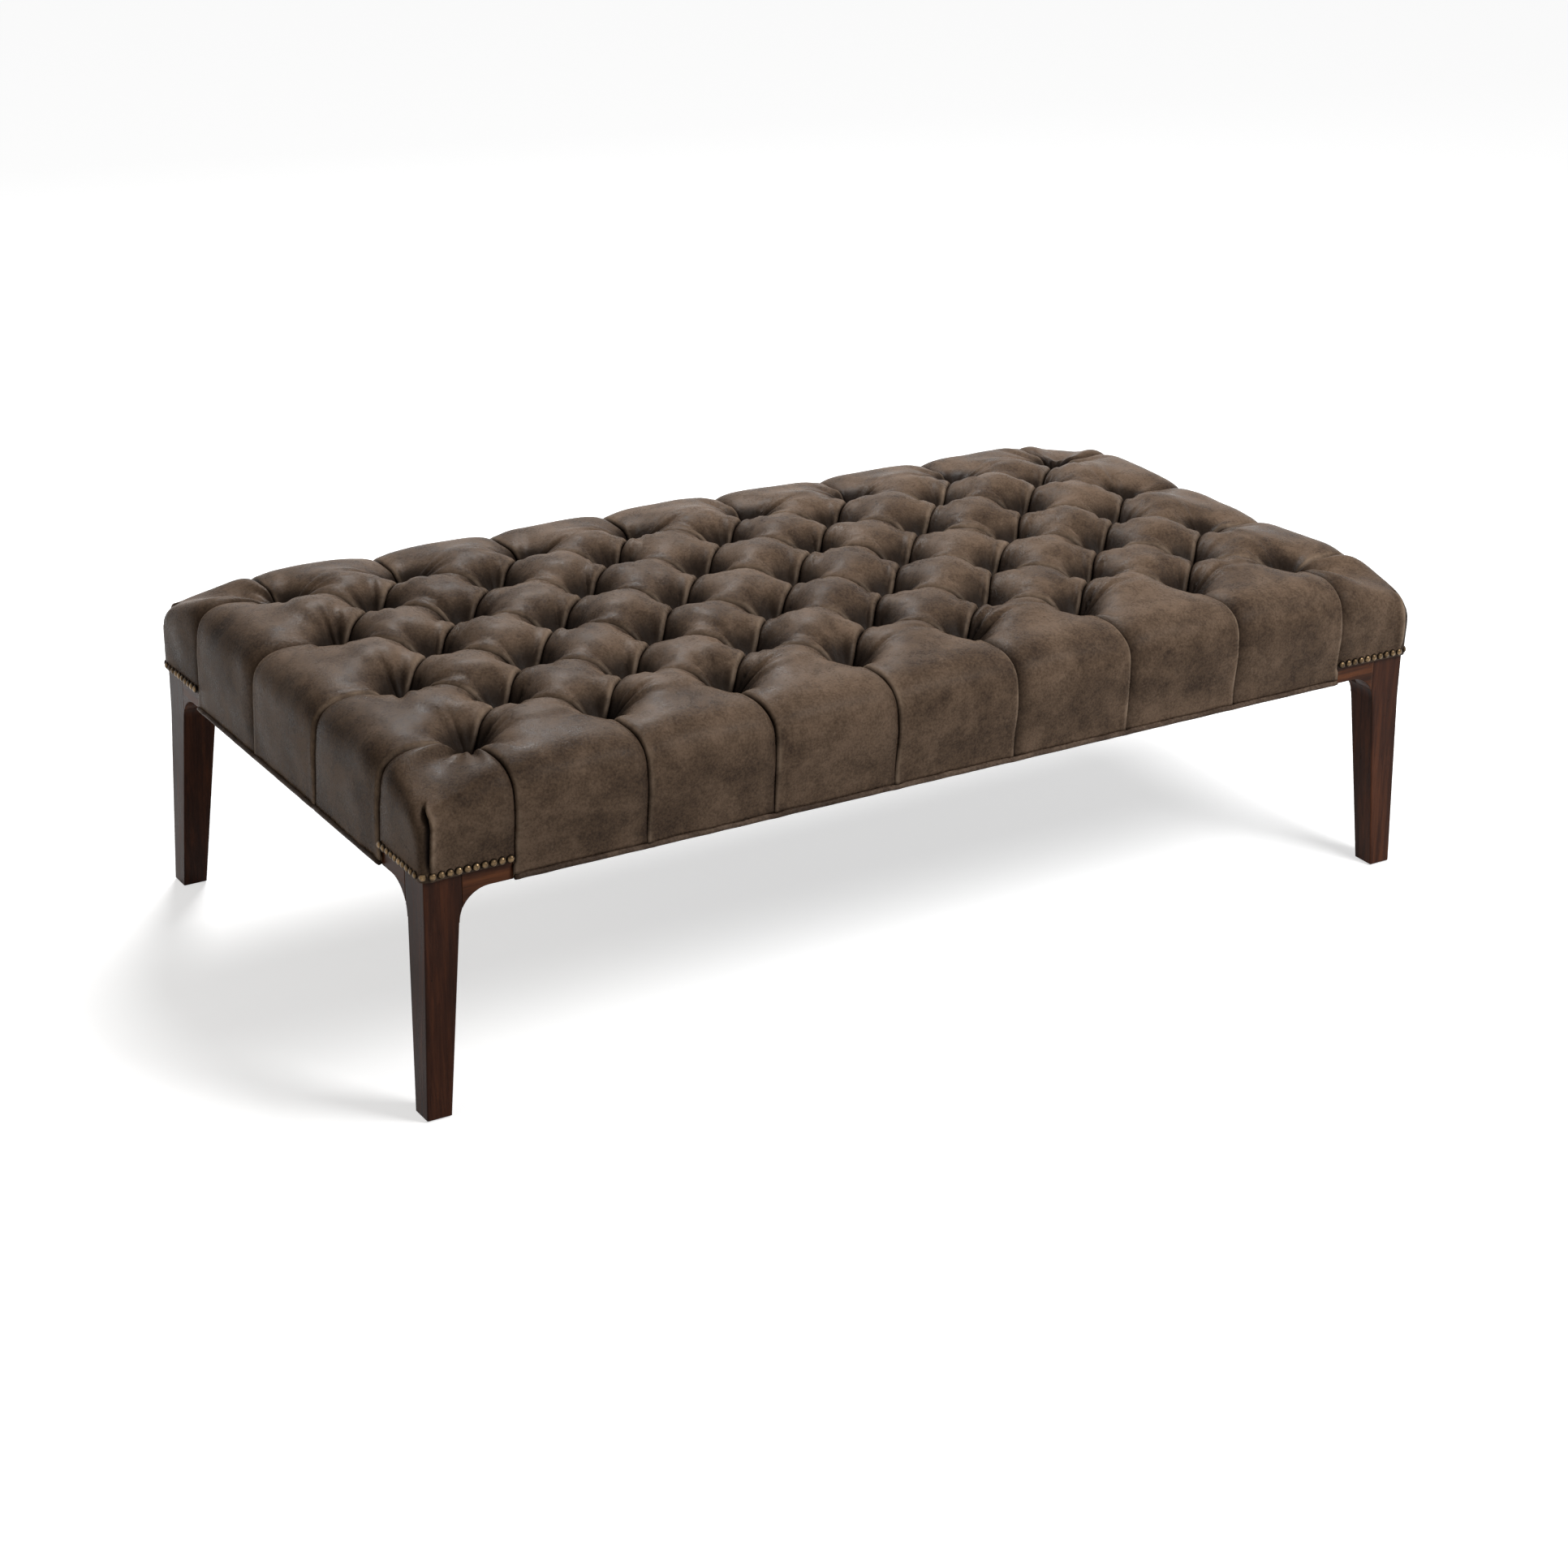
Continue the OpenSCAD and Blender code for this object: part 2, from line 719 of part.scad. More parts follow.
// Walls between two closed rings of points, and the rim that joins a fine ring to a coarse one.
function same(p, q) = norm(p - q) < 0.001;
function wall(upper, lower) =
    let (n = len(upper))
    [
        for (k = [0:n - 1])
            let (m = (k + 1) % n)
            for (t = [[upper[k], lower[k], lower[m]], [upper[k], lower[m], upper[m]]])
                if (!same(t[0], t[1]) && !same(t[1], t[2]) && !same(t[0], t[2])) t
    ];
function flipped(faces) = [for (t = faces) [t[0], t[2], t[1]]];
function spot(e) = e[0] * 10000 + e[1] * 10 + e[2];
function find_spot(e) = [for (k = [0:len(fine_walk) - 1]) if (spot(fine_walk[k]) == spot(e)) k][0];
function rim() =
    let (n = len(coarse_walk), total = len(fine_walk))
    [
        for (k = [0:n - 1])
            let (m = (k + 1) % n, a = find_spot(coarse_walk[k]), b = find_spot(coarse_walk[m]))
            let (count = (b - a + total) % total, half = floor(count / 2))
            let (near = lining_hem(coarse_walk[k]), far = lining_hem(coarse_walk[m]))
            let (ring = [for (s = [0:count]) hem_point(fine_walk[(a + s) % total])])
            for (t = concat(
                [for (s = [0:count - 1]) [ring[s + 1], ring[s], s < half ? near : far]],
                [[ring[half], near, far]]
            )) t
    ];

module solid_of(faces) {
    polyhedron(
        points = [for (t = faces) for (p = t) p],
        faces = [for (k = [0:len(faces) - 1]) [3 * k + 2, 3 * k + 1, 3 * k]]
    );
}

function cover_faces() =
    concat(
        [for (i = [-end_i:end_i - 1]) for (j = [-end_j:end_j - 1]) for (t = cell_faces(i, j)) t],
        [for (tuft = tufts) for (t = well_floor(tuft)) t],
        wall([for (e = fine_walk) top_point(e[0], e[1])], [for (e = fine_walk) hem_point(e)]),
        flipped(lining_roof(skin - leather_t, 0, 0)),
        flipped(wall(
            [for (e = coarse_walk) lining_ring(e, skin - leather_t, 0, 0)],
            [for (e = coarse_walk) lining_hem(e)]
        )),
        rim()
    );

module leather_cover() {
    color(leather_color)
        solid_of(cover_faces());
}

// Foam under the leather: the same shape, soft_gap smaller, flat on the deck.
foam_in = skin - leather_t - soft_gap;
foam_corner = -0.6;
function foam_base(e) =
    concat(lining_plan(e, -deck_inset / 2, -deck_inset), [deck_top + soft_gap / 3]);
foam_walk = [for (e = coarse_walk) if (e[2] == 0 || is_corner(e)) e];
function foam_faces() =
    let (upper = [for (e = foam_walk) lining_ring(e, foam_in, foam_corner, soft_gap)])
    let (lower = [for (e = foam_walk) foam_base(e)], n = len(foam_walk))
    concat(
        lining_roof(foam_in, foam_corner, soft_gap),
        wall(upper, lower),
        [for (k = [0:n - 1]) [lower[(k + 1) % n], lower[k], [0, 0, deck_top + soft_gap / 3]]]
    );

module foam_pad() {
    color([0.93, 0.87, 0.62])
        solid_of(foam_faces());
}

// Thin wadding between the rails' outer faces and the leather.
wadding_t = skin - leather_t - 2 * soft_gap;
wadding_in = 2;
module side_wadding() {
    z0 = hem_z + wadding_in;
    h = rail_top - z0;
    long = 2 * (tuft_x - wadding_in);
    short = 2 * (tuft_y - wadding_in);
    out = (wadding_t + soft_gap) / 2;
    color([0.94, 0.94, 0.92]) {
        for (side = [-1, 1]) {
            translate([-long / 2, side * (frame_w / 2 + out) - wadding_t / 2, z0])
                cube([long, wadding_t, h]);
            translate([side * (frame_l / 2 + out) - wadding_t / 2, -short / 2, z0])
                cube([wadding_t, short, h]);
        }
    }
}

// Covered buttons on the floor of each well, with the twine through foam and deck.
module tuft_buttons() {
    flat = button_h * 0.35;
    color(leather_color * 0.8)
        at_tufts()
            translate([0, 0, well_z + soft_gap / 2])
                rotate_extrude($fn = 24)
                    polygon([
                        [0, 0], [button_d / 2 * 0.9, 0], [button_d / 2, flat],
                        [button_d / 2 * 0.8, button_h * 0.8], [button_d / 4, button_h], [0, button_h]
                    ]);
}

module tuft_twines() {
    color([0.9, 0.88, 0.8])
        at_tufts()
            translate([0, 0, rail_top - staple_t])
                cylinder(d = twine_d, h = well_z + soft_gap / 2 - rail_top + staple_t, $fn = 13);
}

staple_w = 12;
staple_t = 1.2;
staple_leg = 8;
staple_aside = 3.4;
// A wire staple, crown down, driven upwards into what is above it.
module staple() {
    translate([-staple_w / 2, -staple_t / 2, -staple_t])
        cube([staple_w, staple_t, staple_t]);
    for (side = [-1, 1])
        translate([side * (staple_w - staple_t) / 2 - staple_t / 2, -staple_t / 2, -staple_t / 2])
            cube([staple_t, staple_t, staple_leg + staple_t / 2]);
}

// The twine's end is held beside its hole, under the deck.
twine_staple_dx = twine_d / 2 + staple_t / 2 + staple_aside;
module twine_staples() {
    color(steel_color)
        at_tufts()
            translate([0, twine_staple_dx, rail_top])
                staple();
}

// Piping: a covered cord against the rail's outer face, with a flat flange stapled under it.
flange_w = 21;
flange_t = 1.2;
module piping(length, half) {
    middle_y = -half - piping_d / 2 - bore_gap;
    color(leather_color * 1.1) {
        translate([-length / 2, middle_y, ear_bottom + piping_d / 2])
            rotate([0, 90, 0])
                cylinder(d = piping_d, h = length);
        translate([-length / 2, middle_y, rail_bottom - flange_t])
            cube([length, flange_w, flange_t]);
    }
}
pipe_long = 2 * (frame_l / 2 - ear_reach_x - fold_gap);
pipe_short = 2 * (frame_w / 2 - ear_reach_y - fold_gap);

// One corner's nails: along the long side, along the short side, and one on the corner.
module nails() {
    color(brass_color) {
        at_nails_long()
            nail();
        at_nails_short()
            nail();
        at_nail_corner()
            nail();
    }
}

// Black cloth under the frame, cut back round the legs and brackets.
cloth_t = 0.6;
cloth_in = 12;
cloth_clear = 2;
// One corner of the cloth's outline, in the corner's own u and v.
cloth_corner = [
    [ear_reach_x + cloth_clear, cloth_in],
    [ear_reach_x + cloth_clear, rail_t + cloth_clear],
    [leg_top + cloth_clear, rail_t + cloth_clear],
    [leg_top + cloth_clear, leg_top + cloth_clear],
    [rail_t + cloth_clear, leg_top + cloth_clear],
    [rail_t + cloth_clear, ear_reach_y + cloth_clear],
    [cloth_in, ear_reach_y + cloth_clear]
];
function cloth_points(side_x, side_y) =
    let (n = len(cloth_corner))
    [
        for (k = [0:n - 1])
            let (p = cloth_corner[side_x * side_y > 0 ? n - 1 - k : k])
            [side_x * (frame_l / 2 - p[0]), side_y * (frame_w / 2 - p[1])]
    ];
module dust_cover() {
    color(black_cloth)
        translate([0, 0, cloth_z])
            linear_extrude(cloth_t)
                polygon(concat(
                    cloth_points(-1, -1), cloth_points(1, -1), cloth_points(1, 1), cloth_points(-1, 1)
                ));
}
cloth_z = rail_bottom - flange_t - cloth_t - bore_gap;

cloth_staples_long = 9;
cloth_staples_short = 4;
cloth_staple_in = rail_t * 0.8;
cloth_staple_end = 20;
module at_cloth_staples() {
    span_x = 2 * (frame_l / 2 - ear_reach_x - cloth_staple_end);
    span_y = 2 * (frame_w / 2 - ear_reach_y - cloth_staple_end);
    edge_x = frame_l / 2 - cloth_staple_in;
    edge_y = frame_w / 2 - cloth_staple_in;
    for (side = [-1, 1]) {
        for (k = [0:cloth_staples_long - 1])
            translate([(k / (cloth_staples_long - 1) - 0.5) * span_x, side * edge_y, cloth_z])
                children();
        for (k = [0:cloth_staples_short - 1])
            translate([side * edge_x, (k / (cloth_staples_short - 1) - 0.5) * span_y, cloth_z])
                rotate([0, 0, 90])
                    children();
    }
}

module dust_cover_staples() {
    color(steel_color)
        at_cloth_staples()
            staple();
}

module leg_front_left() { at_corner(-1, -1) leg(); }
module leg_front_right() { at_corner(1, -1) leg(); }
module leg_back_left() { at_corner(-1, 1) leg(); }
module leg_back_right() { at_corner(1, 1) leg(); }
module bracket_front_left_long() { at_corner(-1, -1) bracket_long(); }
module bracket_front_left_short() { at_corner(-1, -1) bracket_short(); }
module bracket_front_right_long() { at_corner(1, -1) bracket_long(); }
module bracket_front_right_short() { at_corner(1, -1) bracket_short(); }
module bracket_back_left_long() { at_corner(-1, 1) bracket_long(); }
module bracket_back_left_short() { at_corner(-1, 1) bracket_short(); }
module bracket_back_right_long() { at_corner(1, 1) bracket_long(); }
module bracket_back_right_short() { at_corner(1, 1) bracket_short(); }
module rail_front() { rail_long(-1); }
module rail_back() { rail_long(1); }
module rail_left() { rail_short(-1); }
module rail_right() { rail_short(1); }
module cross_rail_left() { cross_rail(-1); }
module cross_rail_right() { cross_rail(1); }
module corner_block_front_left() { at_corner(-1, -1) corner_block(); }
module corner_block_front_right() { at_corner(1, -1) corner_block(); }
module corner_block_back_left() { at_corner(-1, 1) corner_block(); }
module corner_block_back_right() { at_corner(1, 1) corner_block(); }
module piping_front() { piping(pipe_long, frame_w / 2); }
module piping_back() { rotate([0, 0, 180]) piping(pipe_long, frame_w / 2); }
module piping_left() { rotate([0, 0, -90]) piping(pipe_short, frame_l / 2); }
module piping_right() { rotate([0, 0, 90]) piping(pipe_short, frame_l / 2); }
module nails_front_left() { at_corner(-1, -1) nails(); }
module nails_front_right() { at_corner(1, -1) nails(); }
module nails_back_left() { at_corner(-1, 1) nails(); }
module nails_back_right() { at_corner(1, 1) nails(); }
module glide_front_left() { at_corner(-1, -1) glide(); }
module glide_front_right() { at_corner(1, -1) glide(); }
module glide_back_left() { at_corner(-1, 1) glide(); }
module glide_back_right() { at_corner(1, 1) glide(); }

leg_front_left();
leg_front_right();
leg_back_left();
leg_back_right();
bracket_front_left_long();
bracket_front_left_short();
bracket_front_right_long();
bracket_front_right_short();
bracket_back_left_long();
bracket_back_left_short();
bracket_back_right_long();
bracket_back_right_short();
rail_front();
rail_back();
rail_left();
rail_right();
cross_rail_left();
cross_rail_right();
corner_block_front_left();
corner_block_front_right();
corner_block_back_left();
corner_block_back_right();
rail_dowels();
bracket_dowels();
corner_screws();
deck_screws();
plywood_deck();
foam_pad();
side_wadding();
leather_cover();
tuft_buttons();
tuft_twines();
twine_staples();
piping_front();
piping_back();
piping_left();
piping_right();
nails_front_left();
nails_front_right();
nails_back_left();
nails_back_right();
dust_cover();
dust_cover_staples();
glide_front_left();
glide_front_right();
glide_back_left();
glide_back_right();
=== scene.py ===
import math
import bpy
import bmesh
import numpy as np
from mathutils import Matrix, Vector

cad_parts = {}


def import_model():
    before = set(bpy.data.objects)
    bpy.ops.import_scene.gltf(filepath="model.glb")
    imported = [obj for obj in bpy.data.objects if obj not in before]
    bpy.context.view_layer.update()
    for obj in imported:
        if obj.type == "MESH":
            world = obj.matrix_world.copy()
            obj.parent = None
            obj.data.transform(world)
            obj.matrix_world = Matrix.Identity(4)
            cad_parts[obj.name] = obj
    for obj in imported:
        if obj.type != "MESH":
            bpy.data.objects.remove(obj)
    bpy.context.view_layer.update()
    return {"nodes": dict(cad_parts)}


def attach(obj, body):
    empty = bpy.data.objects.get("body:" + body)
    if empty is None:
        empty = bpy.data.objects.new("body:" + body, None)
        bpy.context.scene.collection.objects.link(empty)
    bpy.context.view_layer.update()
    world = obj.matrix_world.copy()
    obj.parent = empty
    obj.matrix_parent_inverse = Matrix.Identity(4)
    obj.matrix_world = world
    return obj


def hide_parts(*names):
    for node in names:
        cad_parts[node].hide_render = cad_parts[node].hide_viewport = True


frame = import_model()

print("frame loaded:", len(frame["nodes"]), "nodes")

mm = 0.001
scene = bpy.context.scene
scene.view_settings.view_transform = "Standard"

# Length along X, front long side faces -Y. All sizes in the dictionaries are millimetres.
ottoman = {
    "length": 1400,  # wooden frame, over the legs
    "width": 730,
    "tuftX": 587,  # outermost button lines
    "tuftY": 257,
    "columns": 7,  # half steps from the middle to those lines
    "rows": 3,
    "crest": 428,  # top of the puffs
    "skin": 4,  # leather outside the wood
    "woodLine": 296,  # leather ends here over the brackets
    "hemLine": 280.4,  # and here above the piping
    "bracketX": 110,
    "bracketY": 105,
    "deckTop": 348,
    "railBottom": 276,
    "wellFloor": 364,
}
tuftX, tuftY, lastColumn, lastRow = (ottoman[k] for k in ("tuftX", "tuftY", "columns", "rows"))
woodLine, hemLine = ottoman["woodLine"], ottoman["hemLine"]
stepX = tuftX / lastColumn
stepY = tuftY / lastRow
halfX = ottoman["length"] / 2
halfY = ottoman["width"] / 2
# Each side: the way along it and the way out of it
sideWays = {
    "front": ((1, 0), (0, -1)),
    "right": ((0, 1), (1, 0)),
    "back": ((-1, 0), (0, 1)),
    "left": ((0, -1), (-1, 0)),
}


cameraSet = {
    "azimuth": -32.04,
    "elevation": 23.58,
    "roll": 1.02,
    "distance": 4.2773,  # metres
    "target": (-0.0107, 0, 0.1247),
    "lens": 75.79,
}


def addCamera(info):
    az, el, roll = (math.radians(info[k]) for k in ("azimuth", "elevation", "roll"))
    back = Vector((math.sin(az) * math.cos(el), -math.cos(az) * math.cos(el), math.sin(el)))
    right = Vector((math.cos(az), math.sin(az), 0))
    up = back.cross(right)
    rolled = (right * math.cos(roll) + up * math.sin(roll), up * math.cos(roll) - right * math.sin(roll), back)
    data = bpy.data.cameras.new("photoCamera")
    data.lens = info["lens"]
    data.sensor_width = 36
    data.sensor_fit = "HORIZONTAL"
    data.clip_end = 100
    camera = bpy.data.objects.new("photoCamera", data)
    camera.matrix_world = Matrix(rolled).transposed().to_4x4()
    camera.matrix_world.translation = Vector(info["target"]) + back * info["distance"]
    scene.collection.objects.link(camera)
    scene.camera = camera


addCamera(cameraSet)
print("camera placed")


def newObject(name, points, faces):
    mesh = bpy.data.meshes.new(name)
    mesh.from_pydata([tuple(p) for p in points], [], [tuple(f) for f in faces])
    mesh.update()
    mesh.shade_smooth()
    piece = bpy.data.objects.new(name, mesh)
    scene.collection.objects.link(piece)
    return piece


def facesOutward(piece):
    tool = bmesh.new()
    tool.from_mesh(piece.data)
    bmesh.ops.recalc_face_normals(tool, faces=tool.faces)
    openEdges = sum(1 for e in tool.edges if len(e.link_faces) != 2)
    tool.to_mesh(piece.data)
    tool.free()
    print(piece.name, len(piece.data.polygons), "faces,", openEdges, "open edges")
    return piece


def standIn(piece, node):
    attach(piece, "root")
    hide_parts(node)


def addAttribute(piece, name, values):
    layer = piece.data.attributes.new(name, "FLOAT", "POINT")
    layer.data.foreach_set("value", np.asarray(values, dtype=np.float32))


def smoothStep(low, high, value):
    t = np.clip((value - low) / (high - low), 0, 1)
    return t * t * (3 - 2 * t)


def bell(distance, width, power=2):
    return np.exp(-(distance / width) ** power)


def waveField(seed, longest, shortest, count=16):
    # A smooth random field of x, y and z in mm, mostly within -1..1
    rng = np.random.RandomState(seed)
    lengths = np.exp(rng.uniform(math.log(shortest), math.log(longest), count))
    ways = rng.normal(size=(count, 3))
    ways = ways / np.linalg.norm(ways, axis=1)[:, None] * (2 * math.pi / lengths)[:, None]
    phases = rng.uniform(0, 2 * math.pi, count)

    def field(x, y, z=0.0):
        total = np.zeros(np.broadcast(x, y, z).shape)
        for way, phase in zip(ways, phases):
            total += np.sin(way[0] * x + way[1] * y + way[2] * z + phase)
        return total / math.sqrt(2 * count)
    return field


# The leather's buttons make a diamond lattice. Each puff between pleats is a patch of its own,
# and neighbouring patches share the points along their pleat. Outside the last buttons the
# pleats run straight over the edge, and one more patch with a mitre fold covers each corner.
cover = {
    "seed": 11,
    "wideDip": 23,  # soft fall from a puff's crest to its pleats
    "shallower": 0.28,  # less of it halfway between two buttons
    "creaseDip": 8,  # sharp fold at the pleat itself
    "wellDip": 33,  # further pull at a button
    "alongPleat": (25, 2.2),  # its reach and steepness along the pleats
    "intoPuff": (33, 1.6),  # and up into the puffs between them
    "pleatSector": 0.42,
    "floorRadius": 7,  # flat bottom of a well, under its button
    "fullness": 3.0,  # higher makes flatter crests and steeper sides
    "overlap": 3.0,  # how far a pleat's upper fold hangs over
    "roll": 0.6,  # rounded swelling of that fold
    "wrinkle": 8.0,  # soft radial folds beside the buttons
    "wrinkleAt": (-0.4, -0.02, 0.38),  # their directions in each quarter
    "wrinkleSize": (0.3, 1.3),
    "wrinkleFar": (19, 36),
    "wrinkleWide": 0.115,
    "wander": 3.0,  # sewn lines are never quite straight
    "uneven": 2.4,
    "sideDent": 0.8,
    "backDropAt": [-700, -620, -450, 0, 200, 500, 640, 700],  # the far side sits a little lower
    "backDrop": [-7, 3, 8, 8, 13, 17, 16, 12],
    "rightDrop": 14,
    "borderFall": 10,  # section through the border: a slight fall, level, round over, then down
    "fallOver": (0, 62),
    "levelRun": 40,
    "roundOut": 72,
    "roundDown": 57,
    "boxy": 2.9,
    "bulgeLong": 6.5,  # the sides swell out this far above the wood
    "bulgeShort": 0.4,
    "belly": 1.5,
    "thickness": 1.6,
    "toBracket": 3.0,  # the hem runs on this far past the last pleat
    "dropFrom": 50,  # the back's drop is whole this far from a button
    "dropAbove": (300, 400),  # and sets in between these heights
    "backFrom": (150, 330),  # and between these, along Y
    "rightFrom": (440, 660),  # the right end's, along X
    "rightBehind": (-340, -20),  # and along Y
    "lowFrom": (10, 31),  # depth range over which painted shade darkens the hollows
    "wellRim": 7,  # from a well's floor to its wall
    "wellShade": 10,
    "hemReach": 7,  # width of the hem's run towards the bracket
    "calm": (9, 30),  # no overlap close to a button, all of it further out
    "straighten": (0, 45),  # along a border pleat: the lattice's shape fades
    "flatten": (20, 90),  # the puffs grow flatter
    "steady": (0, 90),  # the wander fades
    "dented": (10, 70),  # the dents of the sides set in
    "overlapSpread": (0.85, 0.4),
}
lipAt = [0, 0.8, 2, 3.6, 5.6, 8.2, 11.6]       # mm from the pleat on its overlapping side
lipShape = [0, 0.85, 1, 0.74, 0.42, 0.16, 0]   # and how much of the overlap is there
pleatFold = {
    "edge": (1.7, 1.3),  # width and steepness of the crease on the overlapping side
    "slope": ((0.6, 3), (0.4, 12)),  # shares and widths of its slope on the other
    "swellAt": 5,
    "swellWide": 3.2,
    "tight": 2,  # no swelling this near the crease
    # a painted highlight, with wear, along the rolled edge of the fold: its place and width
    "wornAt": 2.8,
    "ridgeWide": 1.9,
    # Widths of the painted shade along a crease: on the overlapping side, on the other side, and its wide soft
    # part there
    "darkOver": 1.7,
    "darkUnder": 3.8,
    "shadeUnder": (12, 1.5),
}
farAway = 1e3       # distance from a pleat that a point has nothing to do with
# Points lie this far from a pleat
pleatSteps = [0, 0.8, 2.0, 3.6, 5.6, 8.2, 11.6, 16, 22, 29.5, 38, 48.5]
# Fall and fold along a border pleat, from its button down
fadeAt = [0, 12, 25, 50, 75, 100, 125, 150, 165, 230]
wideAlong = [23, 19, 16, 13, 10, 7.5, 4.5, 2.5, 1.1, 0.3]
creaseAlong = [8, 8, 8, 7.5, 7.5, 7.5, 7, 6.5, 5.5, 1.8]

wanderX = waveField(cover["seed"], 260, 120)
wanderY = waveField(cover["seed"] + 1, 260, 120)
unevenField = waveField(cover["seed"] + 2, 420, 150)
foldField = waveField(cover["seed"] + 3, 140, 60)
sideField = waveField(cover["seed"] + 4, 110, 45)
diamondWidth = 2 * stepX * stepY / math.hypot(stepX, stepY)
# Square to the pleats that run down to the right, and to those that run up
upRight = np.array([stepY, stepX]) / math.hypot(stepX, stepY)
downRight = np.array([stepY, -stepX]) / math.hypot(stepX, stepY)


def gradedHalf(half):
    inner = [d for d in pleatSteps if d < half * 0.9]
    extra = [60, 72] if half > 70 else []
    return np.array(inner + [d for d in extra if d < half * 0.93] + [half])


def gradedUnit(half):
    left = gradedHalf(half) / (2 * half)
    return np.concatenate([left, 1 - left[-2::-1]])


kneeHeight = ottoman["crest"] - cover["borderFall"] - cover["roundDown"]


def edgeStations():
    # Section through the border: way out from the buttons, height, normal, share of the bulge
    level = [0, 1.2, 2.8, 5, 8, 11.5, 15.5, 20, 25, 30, 35]

    def topAt(e):
        return ottoman["crest"] - cover["borderFall"] * float(smoothStep(*cover["fallOver"], e))
    rows = [(e, topAt(e), 0.0, 1.0, 0.0) for e in level]
    count = 22      # steps round the knee
    wide, tall, power = cover["roundOut"], cover["roundDown"], cover["boxy"]
    for k in range(count + 1):
        turn = math.pi / 2 * k / count
        across = math.sin(turn) ** (2 / power)
        up = math.cos(turn) ** (2 / power) if k < count else 0.0
        n = np.array([across ** (power - 1) / wide, up ** (power - 1) / tall])
        n = n / np.linalg.norm(n)
        e = cover["levelRun"] + wide * across
        rows.append((e, topAt(e) - tall * (1 - up), n[0], n[1], across ** 3))
    full = cover["levelRun"] + cover["roundOut"]
    for z in np.linspace(kneeHeight, woodLine, 16)[1:]:
        back = float(smoothStep(0, 1, (kneeHeight - z) / (kneeHeight - woodLine)))
        rows.append((full, z, 1.0, 0.0, 1 - back))
    wood = len(rows) - 1
    for z in np.linspace(woodLine, hemLine, 5)[1:]:
        rows.append((full, z, 1.0, 0.0, 0.0))
    rows = np.array(rows)
    along = np.concatenate([[0], np.cumsum(np.hypot(np.diff(rows[:, 0]), np.diff(rows[:, 1])))])
    return rows, along, wood


stations, stationRun, woodRow = edgeStations()
if woodRow % 2:
    raise SystemExit("the wood line must fall on an even row")


def softTop(u):
    return 1 - np.abs(u) ** cover["fullness"]


def shareAt(u, v):
    # How much of the fall counts at a place in a diamond: less halfway along its pleats
    return 1 - cover["shallower"] * (1 - (u * v) ** 2)


def pleatsFrom(c, r):
    # Directions of the pleats that leave a button: diagonals inside, straight out at the border
    ways = [(i * stepX, j * stepY) for i in (-1, 1) for j in (-1, 1)
            if abs(c + i) <= lastColumn and abs(r + j) <= lastRow]
    if abs(r) == lastRow:
        ways.append((0, r))
    if abs(c) == lastColumn:
        ways.append((c, 0))
    return ways


def angleBetween(turn, angle):
    return (turn - angle + math.pi) % (2 * math.pi) - math.pi


def pullAt(reach, turn, c, r):
    into = np.ones(reach.shape)
    for wayX, wayY in pleatsFrom(c, r):
        into = np.minimum(into, 1 - bell(angleBetween(turn, math.atan2(wayY, wayX)), cover["pleatSector"]))
    (radiusA, powerA), (radiusB, powerB) = cover["alongPleat"], cover["intoPuff"]
    radius = radiusA + (radiusB - radiusA) * into
    return bell(reach, radius, powerA + (powerB - powerA) * into)


def tuftKey(c, r):
    return int((c + 20) * 50 + (r + 20))


def wrinklesAt(reach, turn, key):
    # Soft valleys run from a button up each puff beside it
    rng = np.random.RandomState(cover["seed"] * 1000 + key)
    total = np.zeros(reach.shape)
    for sector in range(4):
        for place in cover["wrinkleAt"]:
            angle = sector * math.pi / 2 + place + rng.uniform(-0.1, 0.1)
            size = rng.uniform(*cover["wrinkleSize"])
            far = rng.uniform(*cover["wrinkleFar"])
            radial = np.clip(reach / far * np.exp(1 - reach / far), 0, 1) ** 2.6
            total += size * radial * bell(angleBetween(turn, angle), cover["wrinkleWide"])
    return cover["wrinkle"] * total


def wellTerms(x, y, tufts):
    # Pull and wrinkles of the nearest buttons, and the distance to the nearest
    pull = np.zeros(x.shape)
    folds = np.zeros(x.shape)
    nearest = np.full(x.shape, 1e9)
    for c, r in tufts:
        dx, dy = x - c * stepX, y - r * stepY
        reach, turn = np.hypot(dx, dy), np.arctan2(dy, dx)
        pull = np.maximum(pull, pullAt(reach, turn, c, r))
        folds += wrinklesAt(reach, turn, tuftKey(c, r))
        nearest = np.minimum(nearest, reach)
    return pull, folds, nearest


def lipFor(pleatWay, fromPleat):
    # Between buttons, one side of every pleat is folded over the other
    square = upRight if pleatWay[0] * pleatWay[1] < 0 else downRight
    ahead = np.dot(fromPleat, square) > 0
    isLip = ahead if square is upRight else not ahead
    return isLip, (-square if ahead else square)


def overlapAt(nearest, x, y, z=0.0):
    base, more = cover["overlapSpread"]
    return smoothStep(*cover["calm"], nearest) * (base + more * foldField(x, y, z))


patches = []


